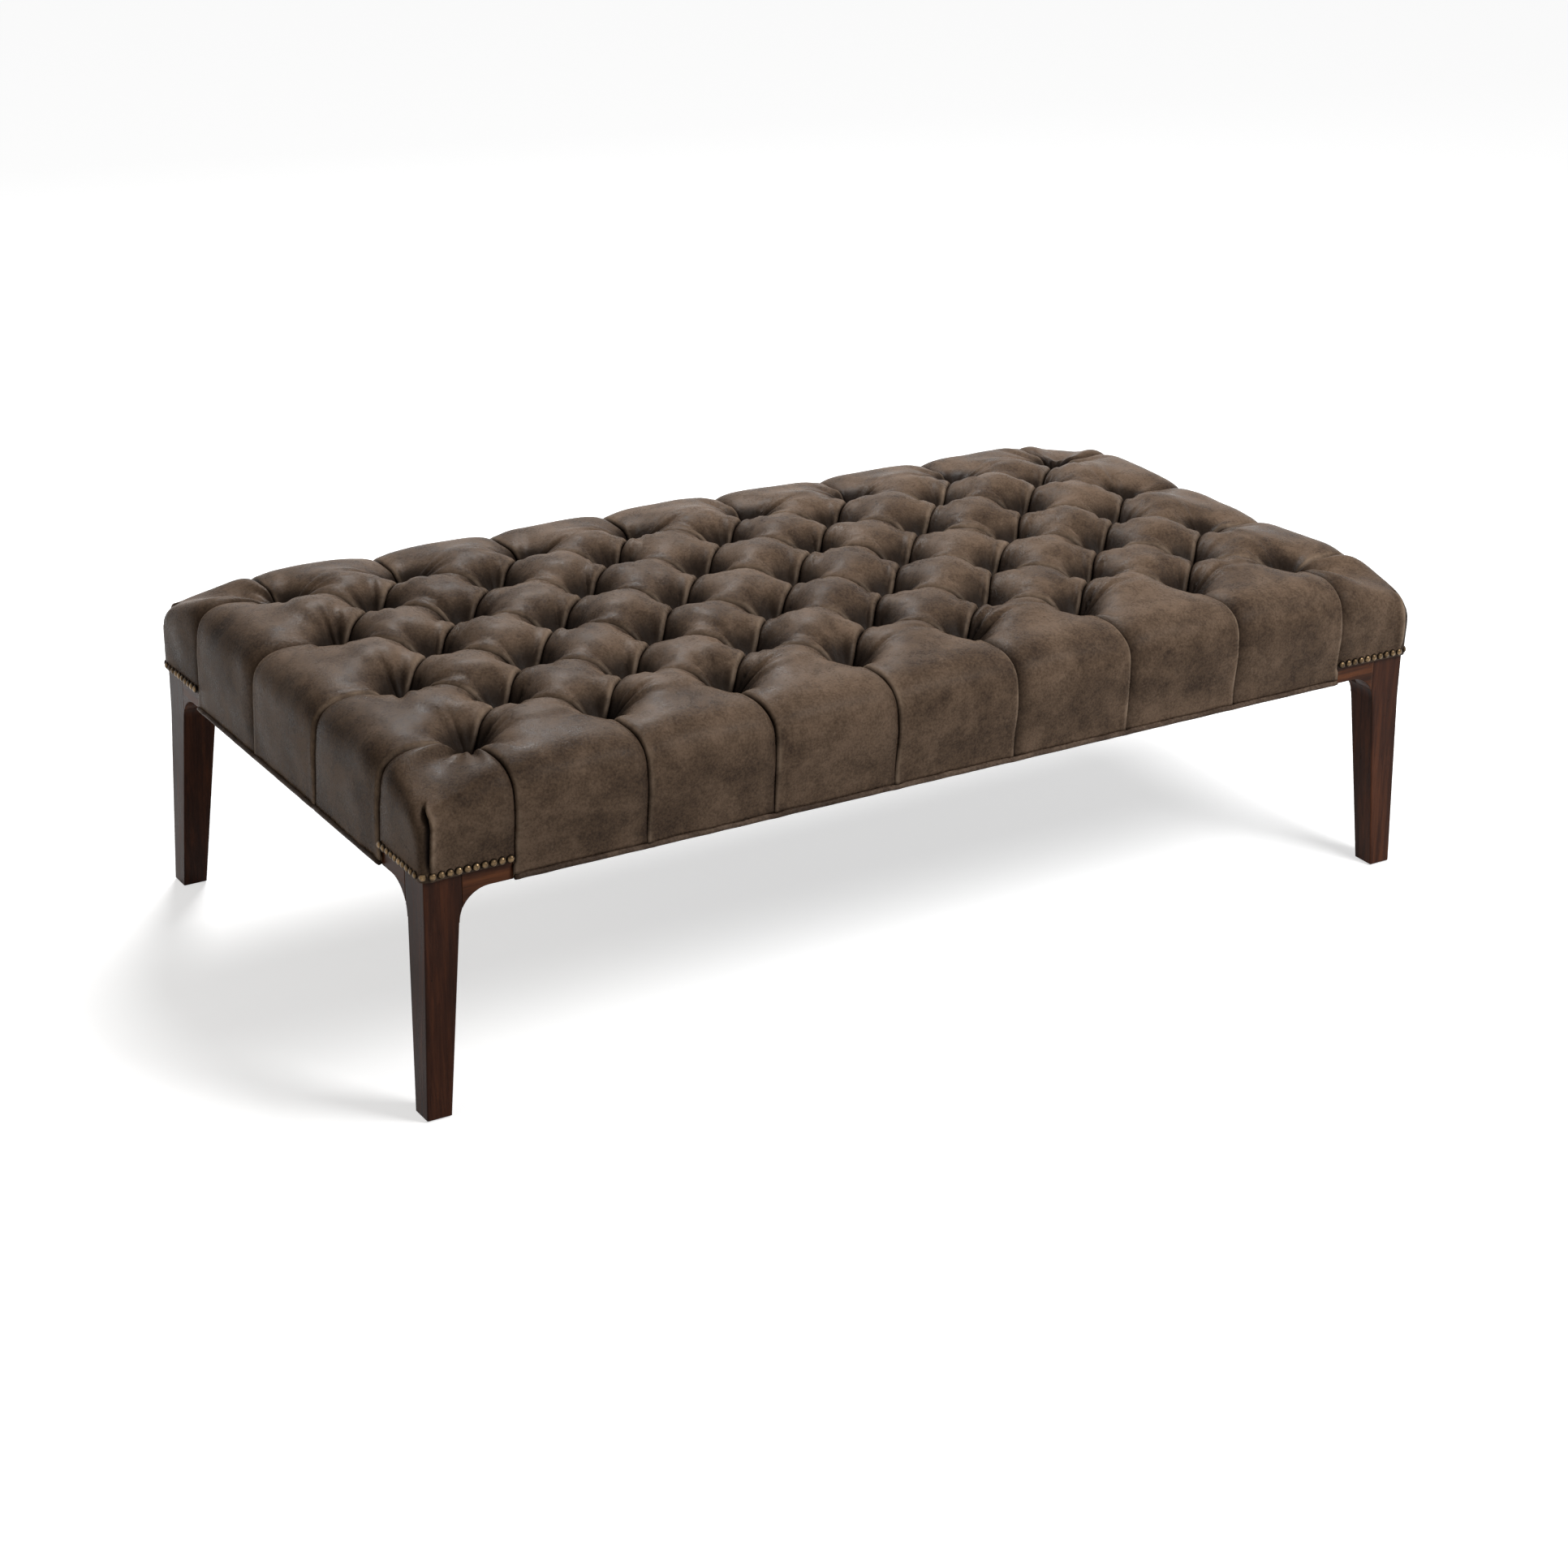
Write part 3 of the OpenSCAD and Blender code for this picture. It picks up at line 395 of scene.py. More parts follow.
def addPatch(place, normal, dip, pleats, hold, nearest, hem=False):
    # pleats: (distance to it, is this side the overlapping lip, way over it, depth, overlap)
    sharp = np.zeros(dip.shape)
    shift = np.zeros(place.shape)
    dark = np.zeros(dip.shape)
    ridge = np.zeros(dip.shape)
    fold = pleatFold
    for distance, isLip, way, depth, overlap in pleats:
        if isLip:
            sharp = np.maximum(sharp, depth * bell(distance, *fold["edge"]))
            swell = bell(distance - fold["swellAt"], fold["swellWide"]) * (1 - bell(distance, fold["tight"]))
            reach = np.interp(distance, lipAt, lipShape)
            dip = dip - cover["roll"] * swell * overlap
            shift += (cover["overlap"] * reach * overlap)[..., None] * np.asarray(way)
            # painted highlight and wear along the fold's rolled edge
            ridge = np.maximum(ridge, bell(distance - fold["wornAt"], fold["ridgeWide"]) * overlap)
            # painted shade: a dark line along the crease under the lip
            dark = np.maximum(dark, bell(distance, fold["darkOver"]))
        else:
            slope = sum(part * np.exp(-distance / width) for part, width in fold["slope"])
            sharp = np.maximum(sharp, depth * slope)
            # painted shade on the side that goes under the fold: a dark line and a wide soft shading
            shade = np.maximum(bell(distance, fold["darkUnder"]), 0.5 * bell(distance, *fold["shadeUnder"]))
            dark = np.maximum(dark, shade)
    x, y, z = place[..., 0], place[..., 1], place[..., 2]
    drop = np.interp(x, cover["backDropAt"], cover["backDrop"])
    atBack = smoothStep(*cover["backFrom"], y)
    atRight = cover["rightDrop"] * smoothStep(*cover["rightFrom"], x) * smoothStep(*cover["rightBehind"], y)
    drop = (drop * atBack + atRight * (1 - atBack)) * smoothStep(*cover["dropAbove"], z)
    moved = np.stack([
        x + cover["wander"] * hold * wanderX(x, y),
        y + cover["wander"] * hold * wanderY(x, y),
        z + cover["uneven"] * hold * unevenField(x, y)
        - drop * smoothStep(cover["floorRadius"], cover["dropFrom"], nearest),
    ], -1)
    total = dip + sharp
    full = cover["wideDip"] + cover["creaseDip"] + cover["wellDip"]
    wall = smoothStep(cover["floorRadius"], cover["floorRadius"] + cover["wellRim"], nearest)
    total = total + (full - total) * (1 - wall)
    points = moved + shift - normal * total[..., None]
    # painted shade down in each well, round its button
    dark = np.maximum(dark, 0.8 * bell(nearest, cover["wellShade"]))
    # painted shade by depth: the deeper the leather lies, the darker it is painted
    low = smoothStep(*cover["lowFrom"], total)
    patches.append({"points": points, "dark": dark, "ridge": ridge, "low": low, "hem": hem})


def addDiamond(a0, b0):
    steps = gradedUnit(diamondWidth / 2)
    s, t = np.meshgrid(steps, steps, indexing="ij")
    c, r = a0 + s + b0 + t, a0 + s - b0 - t
    x, y = c * stepX, r * stepY
    u, v = 2 * s - 1, 2 * t - 1
    tufts = [(a0 + i + b0 + j, a0 + i - b0 - j) for i in (0, 1) for j in (0, 1)]
    pull, folds, nearest = wellTerms(x, y, tufts)
    rng = np.random.RandomState(cover["seed"] * 77 + tuftKey(a0, b0))
    inside = (1 - u * u) * (1 - v * v)
    bump = rng.uniform(-3, 3) * inside ** 2 + (rng.uniform(-4, 4) * u + rng.uniform(-4, 4) * v) * inside
    wide = cover["wideDip"] * (1 - softTop(u) * softTop(v)) * shareAt(u, v)
    dip = wide + cover["wellDip"] * pull - bump
    dip = dip + folds * np.clip(4 * inside, 0, 1)
    overlap = overlapAt(nearest, x, y)
    deep = np.full(x.shape, cover["creaseDip"])
    pleats = []
    for share, runs, square in ((s, (1, -1), upRight), (t, (1, 1), downRight)):
        for low in (True, False):
            isLip, way = lipFor(runs, square if low else -square)
            distance = (share if low else 1 - share) * diamondWidth
            pleats.append((distance, isLip, (way[0], way[1], 0), deep, overlap))
    place = np.stack([x, y, np.full(x.shape, ottoman["crest"])], -1)
    addPatch(place, np.array([0, 0, 1.0]), dip, pleats, np.ones(x.shape), nearest)


def addBorder(side, k):
    # A puff between two straight pleats, with its V-shaped start between three buttons
    isLong = side in ("front", "back")
    along, out = sideWays[side]
    half, other = (stepX, stepY) if isLong else (stepY, stepX)
    line = tuftY if isLong else tuftX
    border = (halfY if isLong else halfX) - line + ottoman["skin"]
    stretch = border / (cover["levelRun"] + cover["roundOut"])
    across = 2 * gradedUnit(half) - 1
    tips = gradedUnit(diamondWidth / 2)

    def perRow(atTips, beyond):
        return np.concatenate([atTips, beyond])[:, None] + 0 * across
    run = perRow(np.zeros(len(tips)), stationRun[1:])
    tip = np.concatenate([tips, np.ones(len(stations) - 1)])[:, None]
    dc = across * tip
    dr = tip - 1 + 0 * across
    bulge = cover["bulgeLong" if isLong else "bulgeShort"] * stations[1:, 4]
    e = perRow((tips - 1) * other, stations[1:, 0] * stretch + bulge)
    z = perRow(np.full(len(tips), stations[0, 1]), stations[1:, 1])
    nOut = perRow(np.zeros(len(tips)), stations[1:, 2])
    nUp = perRow(np.ones(len(tips)), stations[1:, 3])
    p = (k + dc) * half
    last = lastColumn if isLong else lastRow
    for sign in (-1, 1):
        if k + sign == sign * last:            # the hem runs on to the bracket's end
            close = bell((1 - sign * dc) * half, cover["hemReach"])
            p = p + sign * cover["toBracket"] * close * smoothStep(0, 6, woodLine - z)
    u, v = dc + dr, dc - dr
    fall = np.clip((kneeHeight - z) / (kneeHeight - hemLine), 0, 1)

    def world(forward, outward):
        return [forward * along[i] + (line + outward) * out[i] for i in (0, 1)]
    x, y = world(p, e)
    tufts = []
    for pk, ek in ((k - 1, 0), (k + 1, 0), (k, -other)):
        wx, wy = world(pk * half, ek)
        tufts.append((round(wx / stepX), round(wy / stepY)))
    pull, folds, nearest = wellTerms(*world(p, np.where(run > 0, run, e)), tufts)
    squareness = 2 - smoothStep(*cover["straighten"], run)
    flatter = 1 + 0.7 * smoothStep(*cover["flatten"], run)
    straight = np.clip(softTop(np.abs(dc) ** flatter), 0, 1) ** squareness
    top = np.where(run > 0, straight, softTop(u) * softTop(v))
    straight = 1 - (1 - shareAt(dc, dc)) * (1 - smoothStep(*cover["straighten"], run))
    share = np.where(run > 0, straight, shareAt(u, v))
    wide = np.interp(run, fadeAt, wideAlong) * share
    deep = np.interp(run, fadeAt, creaseAlong)
    key = tuftKey(*[round(w) for w in world(k * half, 0)]) % 100000
    rng = np.random.RandomState(cover["seed"] * 91 + key)
    inside = np.where(run > 0, (1 - dc * dc) ** 2, (1 - u * u) * (1 - v * v))
    bump = (rng.uniform(-2, 2) + rng.uniform(-3, 3) * dc) * inside * (1 - smoothStep(0, 170, run))
    belly = cover["belly"] * softTop(dc) * np.sin(math.pi * fall)
    dents = cover["sideDent"] * sideField(x, y, z) * smoothStep(*cover["dented"], run) * softTop(dc)
    dip = wide * (1 - top) + cover["wellDip"] * pull - bump - belly - dents
    dip = dip + folds * np.clip(4 * inside, 0, 1)
    overlap = overlapAt(nearest, x, y, z)
    near = diamondWidth / 2
    close = near / half + (1 - near / half) * smoothStep(0, 15, run)
    pleats = []
    for sign in (-1, 1):
        start = np.array(world(k * half, -other))
        end = np.array(world((k + sign) * half, 0))
        middle = (start + end) / 2
        isLip, way = lipFor(end - start, np.array(world(k * half, 0)) - middle)
        vDistance = np.where(run > 0, farAway, (1 + u if sign < 0 else 1 - v) * near)
        pleats.append((vDistance, isLip, (way[0], way[1], 0), deep, overlap))
        towardsMiddle = (k + sign) * sign > 0
        sDistance = np.where(run > 0, (1 - sign * dc) * half * close, farAway)
        way = (sign * along[0], sign * along[1], 0)
        pleats.append((sDistance, towardsMiddle, way, deep, overlap * 1.15))
    place = np.stack([x, y, z], -1)
    normal = np.stack([nOut * out[0], nOut * out[1], nUp], -1)
    hold = 1 - smoothStep(*cover["steady"], run)
    addPatch(place, normal, dip, pleats, hold, nearest, hem=True)


cornerFold = {
    "radiusAt": [281, 296, 345, 363, 380, 400, 418, 430],  # height
    "radius": [7, 8, 9, 10, 22, 38, 60, 90],
    "droopAt": [0, 50, 100, 150, 185, 230],  # along the section
    "droop": [4, 20, 20, 14, 4, 0],
    "sectionWide": 115,  # of each half, for the spacing of its points
    "topAt": 381,  # the mitre fold starts here
    "fullAt": 372,
    "lessAt": (301, 318),  # and is shallower near the nails
    "least": 0.3,
    "overWood": (359, 367),  # the wood lies behind it up to here
    "deep": 11,  # gap beside the fold, over the foam
    "shallow": 1.0,  # and over the wood
    "edge": (1.3, 1.3),  # of the fold, as for a pleat
    "swell": 3.6,
    "swellAt": 3,
    "swellWide": 5,
    "tight": 1.2,
    "over": 2.6,
    # painted highlight and wear along the corner fold's rolled edge: its strength, place and width
    "wearAndHighlight": 1.5,
    "wornAt": 3.4,
    "ridgeWide": 2.1,
    "asideAt": [281, 296, 335, 352, 362, 368, 373, 379, 400],  # its line wanders round the corner
    "asideReach": 30,
    "aside": [8, 9, 10, 10, 9, 6, 2, -3, 0],
    "gapMore": 1.5,
    "gapAt": [290, 300, 325, 352, 371, 381],  # and its gap opens and closes
    "gap": [3, 4.5, 7, 8, 6.5, 3],
    "bulgeAt": [0, 0.25, 1, 1.75, 2],  # bulge from the long side to the short
    "bulge": [6.5, 3.5, 1.5, 0.9, 0.4],
}


def addCorner(info, sx, sy):
    run = stationRun[:woodRow + 1, None]
    e, z, nOut, nUp, swollen = (stations[:woodRow + 1, i, None] for i in range(5))
    full = cover["levelRun"] + cover["roundOut"]
    b = e * ((halfY - tuftY + ottoman["skin"]) / full)
    a = e * ((halfX - tuftX + ottoman["skin"]) / full)

    def fromTable(at, name):
        return np.interp(at, info[name + "At"], info[name])
    radius = np.minimum(fromTable(z, "radius"), 0.97 * np.minimum(a, b))
    steps = np.array(pleatSteps[:-1] + [49])
    wide = info["sectionWide"]
    half = np.concatenate([steps, [wide / 2], wide - steps[::-1]]) / wide
    share = np.concatenate([half, 1 + half[1:]])[None, :]          # 0..1 long side, 1..2 short side
    firstLength = a - radius + math.pi * radius / 4
    secondLength = b - radius + math.pi * radius / 4
    w = share / 2
    lz = z - fromTable(run, "droop") * np.sin(math.pi * w) ** 2
    fold = 1 - smoothStep(info["fullAt"], info["topAt"], lz)
    fold = fold * (info["least"] + (1 - info["least"]) * smoothStep(*info["lessAt"], lz))
    first = np.clip(share, 0, 1) * firstLength
    second = np.clip(share - 1, 0, 1) * secondLength
    round_ = first - firstLength + second                          # 0 at the fold, less on the long side
    round_ = round_ - fromTable(lz, "aside") * bell(round_, info["asideReach"])
    onFirst = firstLength + np.minimum(round_, 0)
    onSecond = np.maximum(round_, 0)
    arc1 = np.clip(onFirst - (a - radius), 0, None) / np.maximum(radius, 1e-6)
    arc2 = np.clip(onSecond, 0, math.pi / 4 * radius) / np.maximum(radius, 1e-6)
    turn = np.where(round_ <= 0, arc1, math.pi / 4 + arc2)
    lx = np.minimum(onFirst, a - radius) + radius * np.sin(turn)
    ly = b - radius + radius * np.cos(turn) - np.clip(onSecond - math.pi / 4 * radius, 0, None)
    swollen = swollen * fromTable(share, "bulge")
    x = sx * (tuftX + lx + swollen * np.sin(turn))
    y = sy * (tuftY + ly + swollen * np.cos(turn))
    fx = sx * (tuftX + lx * run / np.maximum(a, 1e-6))
    fy = sy * (tuftY + ly * run / np.maximum(b, 1e-6))
    pull, folds, nearest = wellTerms(fx, fy, [(lastColumn * sx, lastRow * sy)])
    top = softTop(np.abs(2 * w - 1) ** (1 + 0.7 * smoothStep(*cover["flatten"], run)))
    dents = cover["sideDent"] * sideField(x, y, lz) * smoothStep(*cover["dented"], run) * np.clip(top, 0, 1)
    dip = np.interp(run, fadeAt, wideAlong) * (1 - top) + cover["wellDip"] * pull - dents
    dip = dip + folds * np.clip(3 * (1 - (2 * w - 1) ** 2), 0, 1)
    deep = np.interp(run, fadeAt, creaseAlong) + 0 * w
    onLong = np.where(share <= 1, firstLength - first, farAway)
    onShort = np.where(share >= 1, second, farAway)
    pleats = []
    fromLong = np.where(share <= 1, first, farAway)
    fromShort = np.where(share >= 1, secondLength - second, farAway)
    for distance in (fromLong, fromShort):
        pleats.append((distance, False, (0, 0, 0), deep, 0 * deep))
    foldDeep = fold * np.interp(lz, info["overWood"], (info["shallow"], info["deep"]))
    lipDip = foldDeep * bell(onLong, *info["edge"])
    opening = fromTable(lz, "gap")
    gapDip = foldDeep * bell(onShort, opening + info["gapMore"], 3)
    inside = bell(onLong, info["tight"])
    swell = fold * info["swell"] * bell(onLong - info["swellAt"], info["swellWide"]) * (1 - inside)
    dip = dip + np.where(share <= 1, lipDip, gapDip) - swell
    over = fold * info["over"] * np.interp(onLong, lipAt, lipShape)
    place = np.stack([x + sx * np.cos(turn) * over, y - sy * np.sin(turn) * over, lz + 0 * x], -1)
    normal = np.stack([sx * np.sin(turn) * nOut, sy * np.cos(turn) * nOut, nUp + 0 * turn], -1)
    addPatch(place, normal, dip, pleats, 1 - smoothStep(*cover["steady"], run) + 0 * x, nearest)
    patch = patches[-1]
    # painted shade in the gap beside the corner fold and just inside its lip
    beside = np.maximum(bell(onShort, opening, 4), 0.6 * np.exp(-onShort / (2 * opening)))
    gap = np.where(share <= 1, inside, beside)
    patch["dark"] = np.maximum(patch["dark"], gap * fold)
    # painted highlight and wear along the corner fold's rolled edge
    wearAndHighlight = info["wearAndHighlight"] * bell(onLong - info["wornAt"], info["ridgeWide"]) * fold
    patch["ridge"] = np.maximum(patch["ridge"], wearAndHighlight)


for a0 in range(-6, 7):
    for b0 in range(-6, 7):
        c, r = a0 + b0 + 1, a0 - b0
        if abs(c) < lastColumn and abs(r) < lastRow:
            addDiamond(a0, b0)
for k in range(-6, 7, 2):
    addBorder("front", k)
    addBorder("back", k)
for k in (-2, 0, 2):
    addBorder("left", k)
    addBorder("right", k)
for sx in (-1, 1):
    for sy in (-1, 1):
        addCorner(cornerFold, sx, sy)
print("cover patches:", len(patches))


weldGrid = 60       # steps per mm; points in the same step become one


def weldPatches():
    # One list of points, where patches that share a pleat share its points
    everything = np.concatenate([patch["points"].reshape(-1, 3) for patch in patches])
    keys = np.round(everything * weldGrid).astype(np.int64)
    unique, first, index = np.unique(keys, axis=0, return_index=True, return_inverse=True)
    index = index.reshape(-1)
    start = 0
    for patch in patches:
        rows, columns = patch["points"].shape[:2]
        patch["index"] = index[start:start + rows * columns].reshape(rows, columns)
        start += rows * columns
    values = {}
    for name in ("dark", "ridge", "low"):
        flat = np.concatenate([patch[name].reshape(-1) for patch in patches])
        values[name] = np.zeros(len(unique))
        np.maximum.at(values[name], index, flat)
    return everything[first], values


def gridFaces(index):
    a, b = index[:-1, :-1].ravel(), index[1:, :-1].ravel()
    c, d = index[1:, 1:].ravel(), index[:-1, 1:].ravel()
    faces = []
    for quad in zip(a.tolist(), b.tolist(), c.tolist(), d.tolist()):
        ring = [quad[k] for k in range(4) if quad[k] != quad[k - 1]]
        if len(ring) > 2 and len(set(ring)) == len(ring):
            faces.append(ring)
    return faces


def faceCrosses(points, faces):
    quads = np.array([f if len(f) == 4 else f + [f[-1]] for f in faces])
    corners = points[quads]
    return quads, corners, np.cross(corners[:, 2] - corners[:, 0], corners[:, 3] - corners[:, 1])


def pointNormals(points, faces):
    normals = np.zeros(points.shape)
    quads, corners, crosses = faceCrosses(points, faces)
    for k in range(4):
        np.add.at(normals, quads[:, k], crosses)
    return normals / np.maximum(np.linalg.norm(normals, axis=1), 1e-9)[:, None]


def turnedOut(points, faces):
    # A patch may be wound either way; its faces should look up or outwards
    quads, corners, crosses = faceCrosses(points, faces)
    facing = np.sum(crosses * (corners.mean(1) - np.array([0, 0, 300.0])) * np.array([0.3, 0.5, 1.0]))
    return faces if facing > 0 else [f[::-1] for f in faces]


def buildCover():
    points, values = weldPatches()
    outer = []
    for patch in patches:
        outer += turnedOut(points, gridFaces(patch["index"]))
    normals = pointNormals(points, outer)
    innerOf = {}
    inner, rim = [], []

    def innerId(k):
        return innerOf.setdefault(k, len(points) + len(innerOf))

    def addRim(line):
        for k in range(0, len(line) - 2, 2):
            a, b, c = line[k], line[k + 1], line[k + 2]
            rim.extend([[a, b, innerId(a)], [b, c, innerId(c)], [b, innerId(c), innerId(a)]])
    for patch in patches:
        index = patch["index"]
        for face in gridFaces(index[::2, ::2]):
            inner.append([innerId(k) for k in face])
    for patch in patches:
        index = patch["index"].tolist()
        if patch["hem"]:
            addRim(index[-1])
            for column in (0, -1):
                p = patch["points"][-1, column]
                atX, atY = (abs(abs(p[i]) - (tuftX, tuftY)[i]) < cover["toBracket"] + 3 for i in (0, 1))
                if (atX or atY) and atX == (abs(p[1]) > halfY):
                    addRim([row[column] for row in index[woodRow - len(stations):]])
        elif len(index) == woodRow + 1 and patch["points"][-1, 0, 2] < 300:
            addRim(index[-1])
    order = sorted(innerOf, key=innerOf.get)
    innerPoints = points[order] - normals[order] * cover["thickness"]
    allPoints = np.concatenate([points, innerPoints]) * mm
    piece = newObject("leatherCover", allPoints, outer + inner + rim)
    for name, own in values.items():
        addAttribute(piece, name, np.concatenate([own, own[order]]))
    facesOutward(piece)
    return piece, points, normals


leatherCover, coverPoints, coverNormals = buildCover()
standIn(leatherCover, "leather_cover")
print("leather cover:", len(leatherCover.data.vertices), "points")


foam = {"gap": 1.1, "lowest": 351, "onDeck": 0.2, "cornerCut": 16, "footX": 697, "footY": 362}


def inFixedOrder(piece):
    # A hole's new faces come in another order each time, so all faces are sorted
    mesh = piece.data
    rings = []
    for polygon in mesh.polygons:
        ring = list(polygon.vertices)
        first = ring.index(min(ring))
        rings.append(ring[first:] + ring[:first])
    points = [tuple(vert.co) for vert in mesh.vertices]
    mesh.clear_geometry()
    mesh.from_pydata(points, [], sorted(rings))
    mesh.update()
    mesh.shade_smooth()
    return piece


def buildFoam(info):
    used = {}
    faces = []
    points = coverPoints - coverNormals * (cover["thickness"] + info["gap"])
    for patch in patches:
        for face in gridFaces(patch["index"][::2, ::2]):
            if points[face, 2].min() > info["lowest"]:
                faces.append([used.setdefault(k, len(used)) for k in face])
    order = sorted(used, key=used.get)
    piece = newObject("foamPad", points[order] * mm, faces)
    tool = bmesh.new()
    tool.from_mesh(piece.data)
    edges = [e for e in tool.edges if len(e.link_faces) == 1]
    made = bmesh.ops.extrude_edge_only(tool, edges=edges)["geom"]
    base = (ottoman["deckTop"] + info["onDeck"]) * mm
    footX, footY = info["footX"], info["footY"]
    for vert in [g for g in made if isinstance(g, bmesh.types.BMVert)]:
        vert.co.z = base
        for axis, foot in ((0, footX), (1, footY)):
            vert.co[axis] = max(-foot * mm, min(foot * mm, vert.co[axis]))
        over = max(0, abs(vert.co.x) + abs(vert.co.y) - (footX + footY - info["cornerCut"]) * mm) / 2
        for axis in (0, 1):
            vert.co[axis] -= math.copysign(over, vert.co[axis])
    bmesh.ops.holes_fill(tool, edges=[e for e in tool.edges if len(e.link_faces) == 1], sides=0)
    bmesh.ops.triangulate(tool, faces=[f for f in tool.faces if len(f.verts) > 4])
    tool.to_mesh(piece.data)
    tool.free()
    return inFixedOrder(facesOutward(piece))


foamPad = buildFoam(foam)
standIn(foamPad, "foam_pad")


# Thin wadding on the rails
wadding = {"thick": 1.1, "off": 0.15, "low": 283.5, "high": 336, "fromPleat": 9, "wave": 0.12}


def closedSheet(rows, thick):
    # A grid of points (rows, columns, 3) made a closed sheet; its second face is moved by thick
    count = rows.shape[0] * rows.shape[1]
    index = np.arange(count).reshape(rows.shape[:2])
    points = np.concatenate([rows.reshape(-1, 3), (rows + np.asarray(thick)).reshape(-1, 3)])
    faces = gridFaces(index) + [[k + count for k in f[::-1]] for f in gridFaces(index)]
    sides = (index[0, :], index[1:, -1], index[-1, -2::-1], index[-2:0:-1, 0])
    ring = np.concatenate(sides).tolist()
    for a, b in zip(ring, ring[1:] + ring[:1]):
        faces.append([b, a, a + count, b + count])
    return points, faces


def joined(parts):
    # Several pairs of points and faces as one pair
    start = 0
    allFaces = []
    for points, faces in parts:
        allFaces += [[k + start for k in f] for f in faces]
        start += len(points)
    return np.concatenate([points for points, faces in parts]), allFaces


def buildWadding(info):
    sheets = []
    for wayX, wayY, half, line, last in ((1, 0, stepX, halfY, lastColumn), (0, 1, stepY, halfX, lastRow)):
        for side in (-1, 1):
            for k in range(-last, last, 2):
                ends = k * half + info["fromPleat"], (k + 2) * half - info["fromPleat"]
                up = np.linspace(info["low"], info["high"], 8)
                a, z = np.meshgrid(np.linspace(*ends, 20), up, indexing="ij")
                out = side * (line + info["off"] + info["wave"] * (1 + sideField(a, z, side * 50)))
                grid = np.stack([a * wayX + out * wayY, a * wayY + out * wayX, z], -1)
                push = side * info["thick"]
                sheets.append(closedSheet(grid, (push * wayY, push * wayX, 0)))
    points, faces = joined(sheets)
    return facesOutward(newObject("sideWadding", points * mm, faces))


sideWadding = buildWadding(wadding)
standIn(sideWadding, "side_wadding")


piping = {
    "radius": 3.5,
    "outFromWood": 3.6,
    "height": 277.5,
    "sides": 16,
    "spacing": 5,
    "dipAtPleat": 1.1,
    "pinch": 0.1,
    "nearPleat": 7,  # width of the pinch and dip at a pleat
    "pullIn": 0.5,
    "wavy": (0.03, 0.35),  # share of the radius, height
    "jointDip": 0.16,
    "jointWide": 1.3,
    "endShare": 0.8,  # of the radius, at both ends
    "flangeWide": 21,
    "flangeThick": 1.2,
    "clear": 0.05,
    "joint": -5,  # a pleat's number along the front where the piping was joined
}


def buildPiping(info, side):
    isLong = side in ("front", "back")
    along, out = sideWays[side]
    reach = (tuftX if isLong else tuftY) + cover["toBracket"]
    line = (halfY if isLong else halfX) + info["outFromWood"]
    step = stepX if isLong else stepY
    places = np.linspace(-reach, reach, int(2 * reach / info["spacing"]) + 1)
    near = bell(np.abs((places / step) % 2 - 1) * step, info["nearPleat"])
    turn = np.linspace(0, 2 * math.pi, info["sides"], endpoint=False)
    wave = sideField(*[places * along[i] * 2 + line * out[i] for i in (0, 1)], 10)
    wavyRadius, wavyHeight = info["wavy"]
    radius = info["radius"] * (1 - info["pinch"] * near + wavyRadius * wave)
    joint = info["joint"] * step if side == "front" else (3 * step if isLong else step)
    radius = radius * (1 - info["jointDip"] * bell(places - joint, info["jointWide"]))
    radius[0] = radius[-1] = info["radius"] * info["endShare"]
    centreZ = info["height"] - info["dipAtPleat"] * near + wavyHeight * wave
    centreOut = line - info["pullIn"] * near
    rings = np.stack([
        places[:, None] + 0 * turn,
        centreOut[:, None] + radius[:, None] * np.cos(turn),
        centreZ[:, None] + radius[:, None] * np.sin(turn),
    ], -1)
    count = len(turn)
    faces = []
    last = (len(places) - 1) * count
    for r in range(0, last, count):
        for k in range(count):
            n = (k + 1) % count
            faces.append([r + k, r + n, r + count + n, r + count + k])
    faces.append(list(range(count))[::-1])
    faces.append([last + k for k in range(count)])
    low = ottoman["railBottom"] - info["flangeThick"]
    inward = [line, line - info["flangeWide"] / 2, line - info["flangeWide"]]
    a, b = np.meshgrid(np.linspace(-reach, reach, 60), inward, indexing="ij")
    sheet = np.stack([a, b, low + 0 * a], -1)
    flange = closedSheet(sheet, (0, 0, info["flangeThick"] - info["clear"]))
    points, faces = joined([(rings.reshape(-1, 3), faces), flange])
    x, y = (points[:, 0] * along[i] + points[:, 1] * out[i] for i in (0, 1))
    points = np.stack([x, y, points[:, 2]], -1) * mm
    piece = facesOutward(newObject("piping" + side.title(), points, faces))
    standIn(piece, "piping_" + side)
    return piece


pipings = [buildPiping(piping, side) for side in ("front", "back", "left", "right")]
print("foam, wadding and piping made")


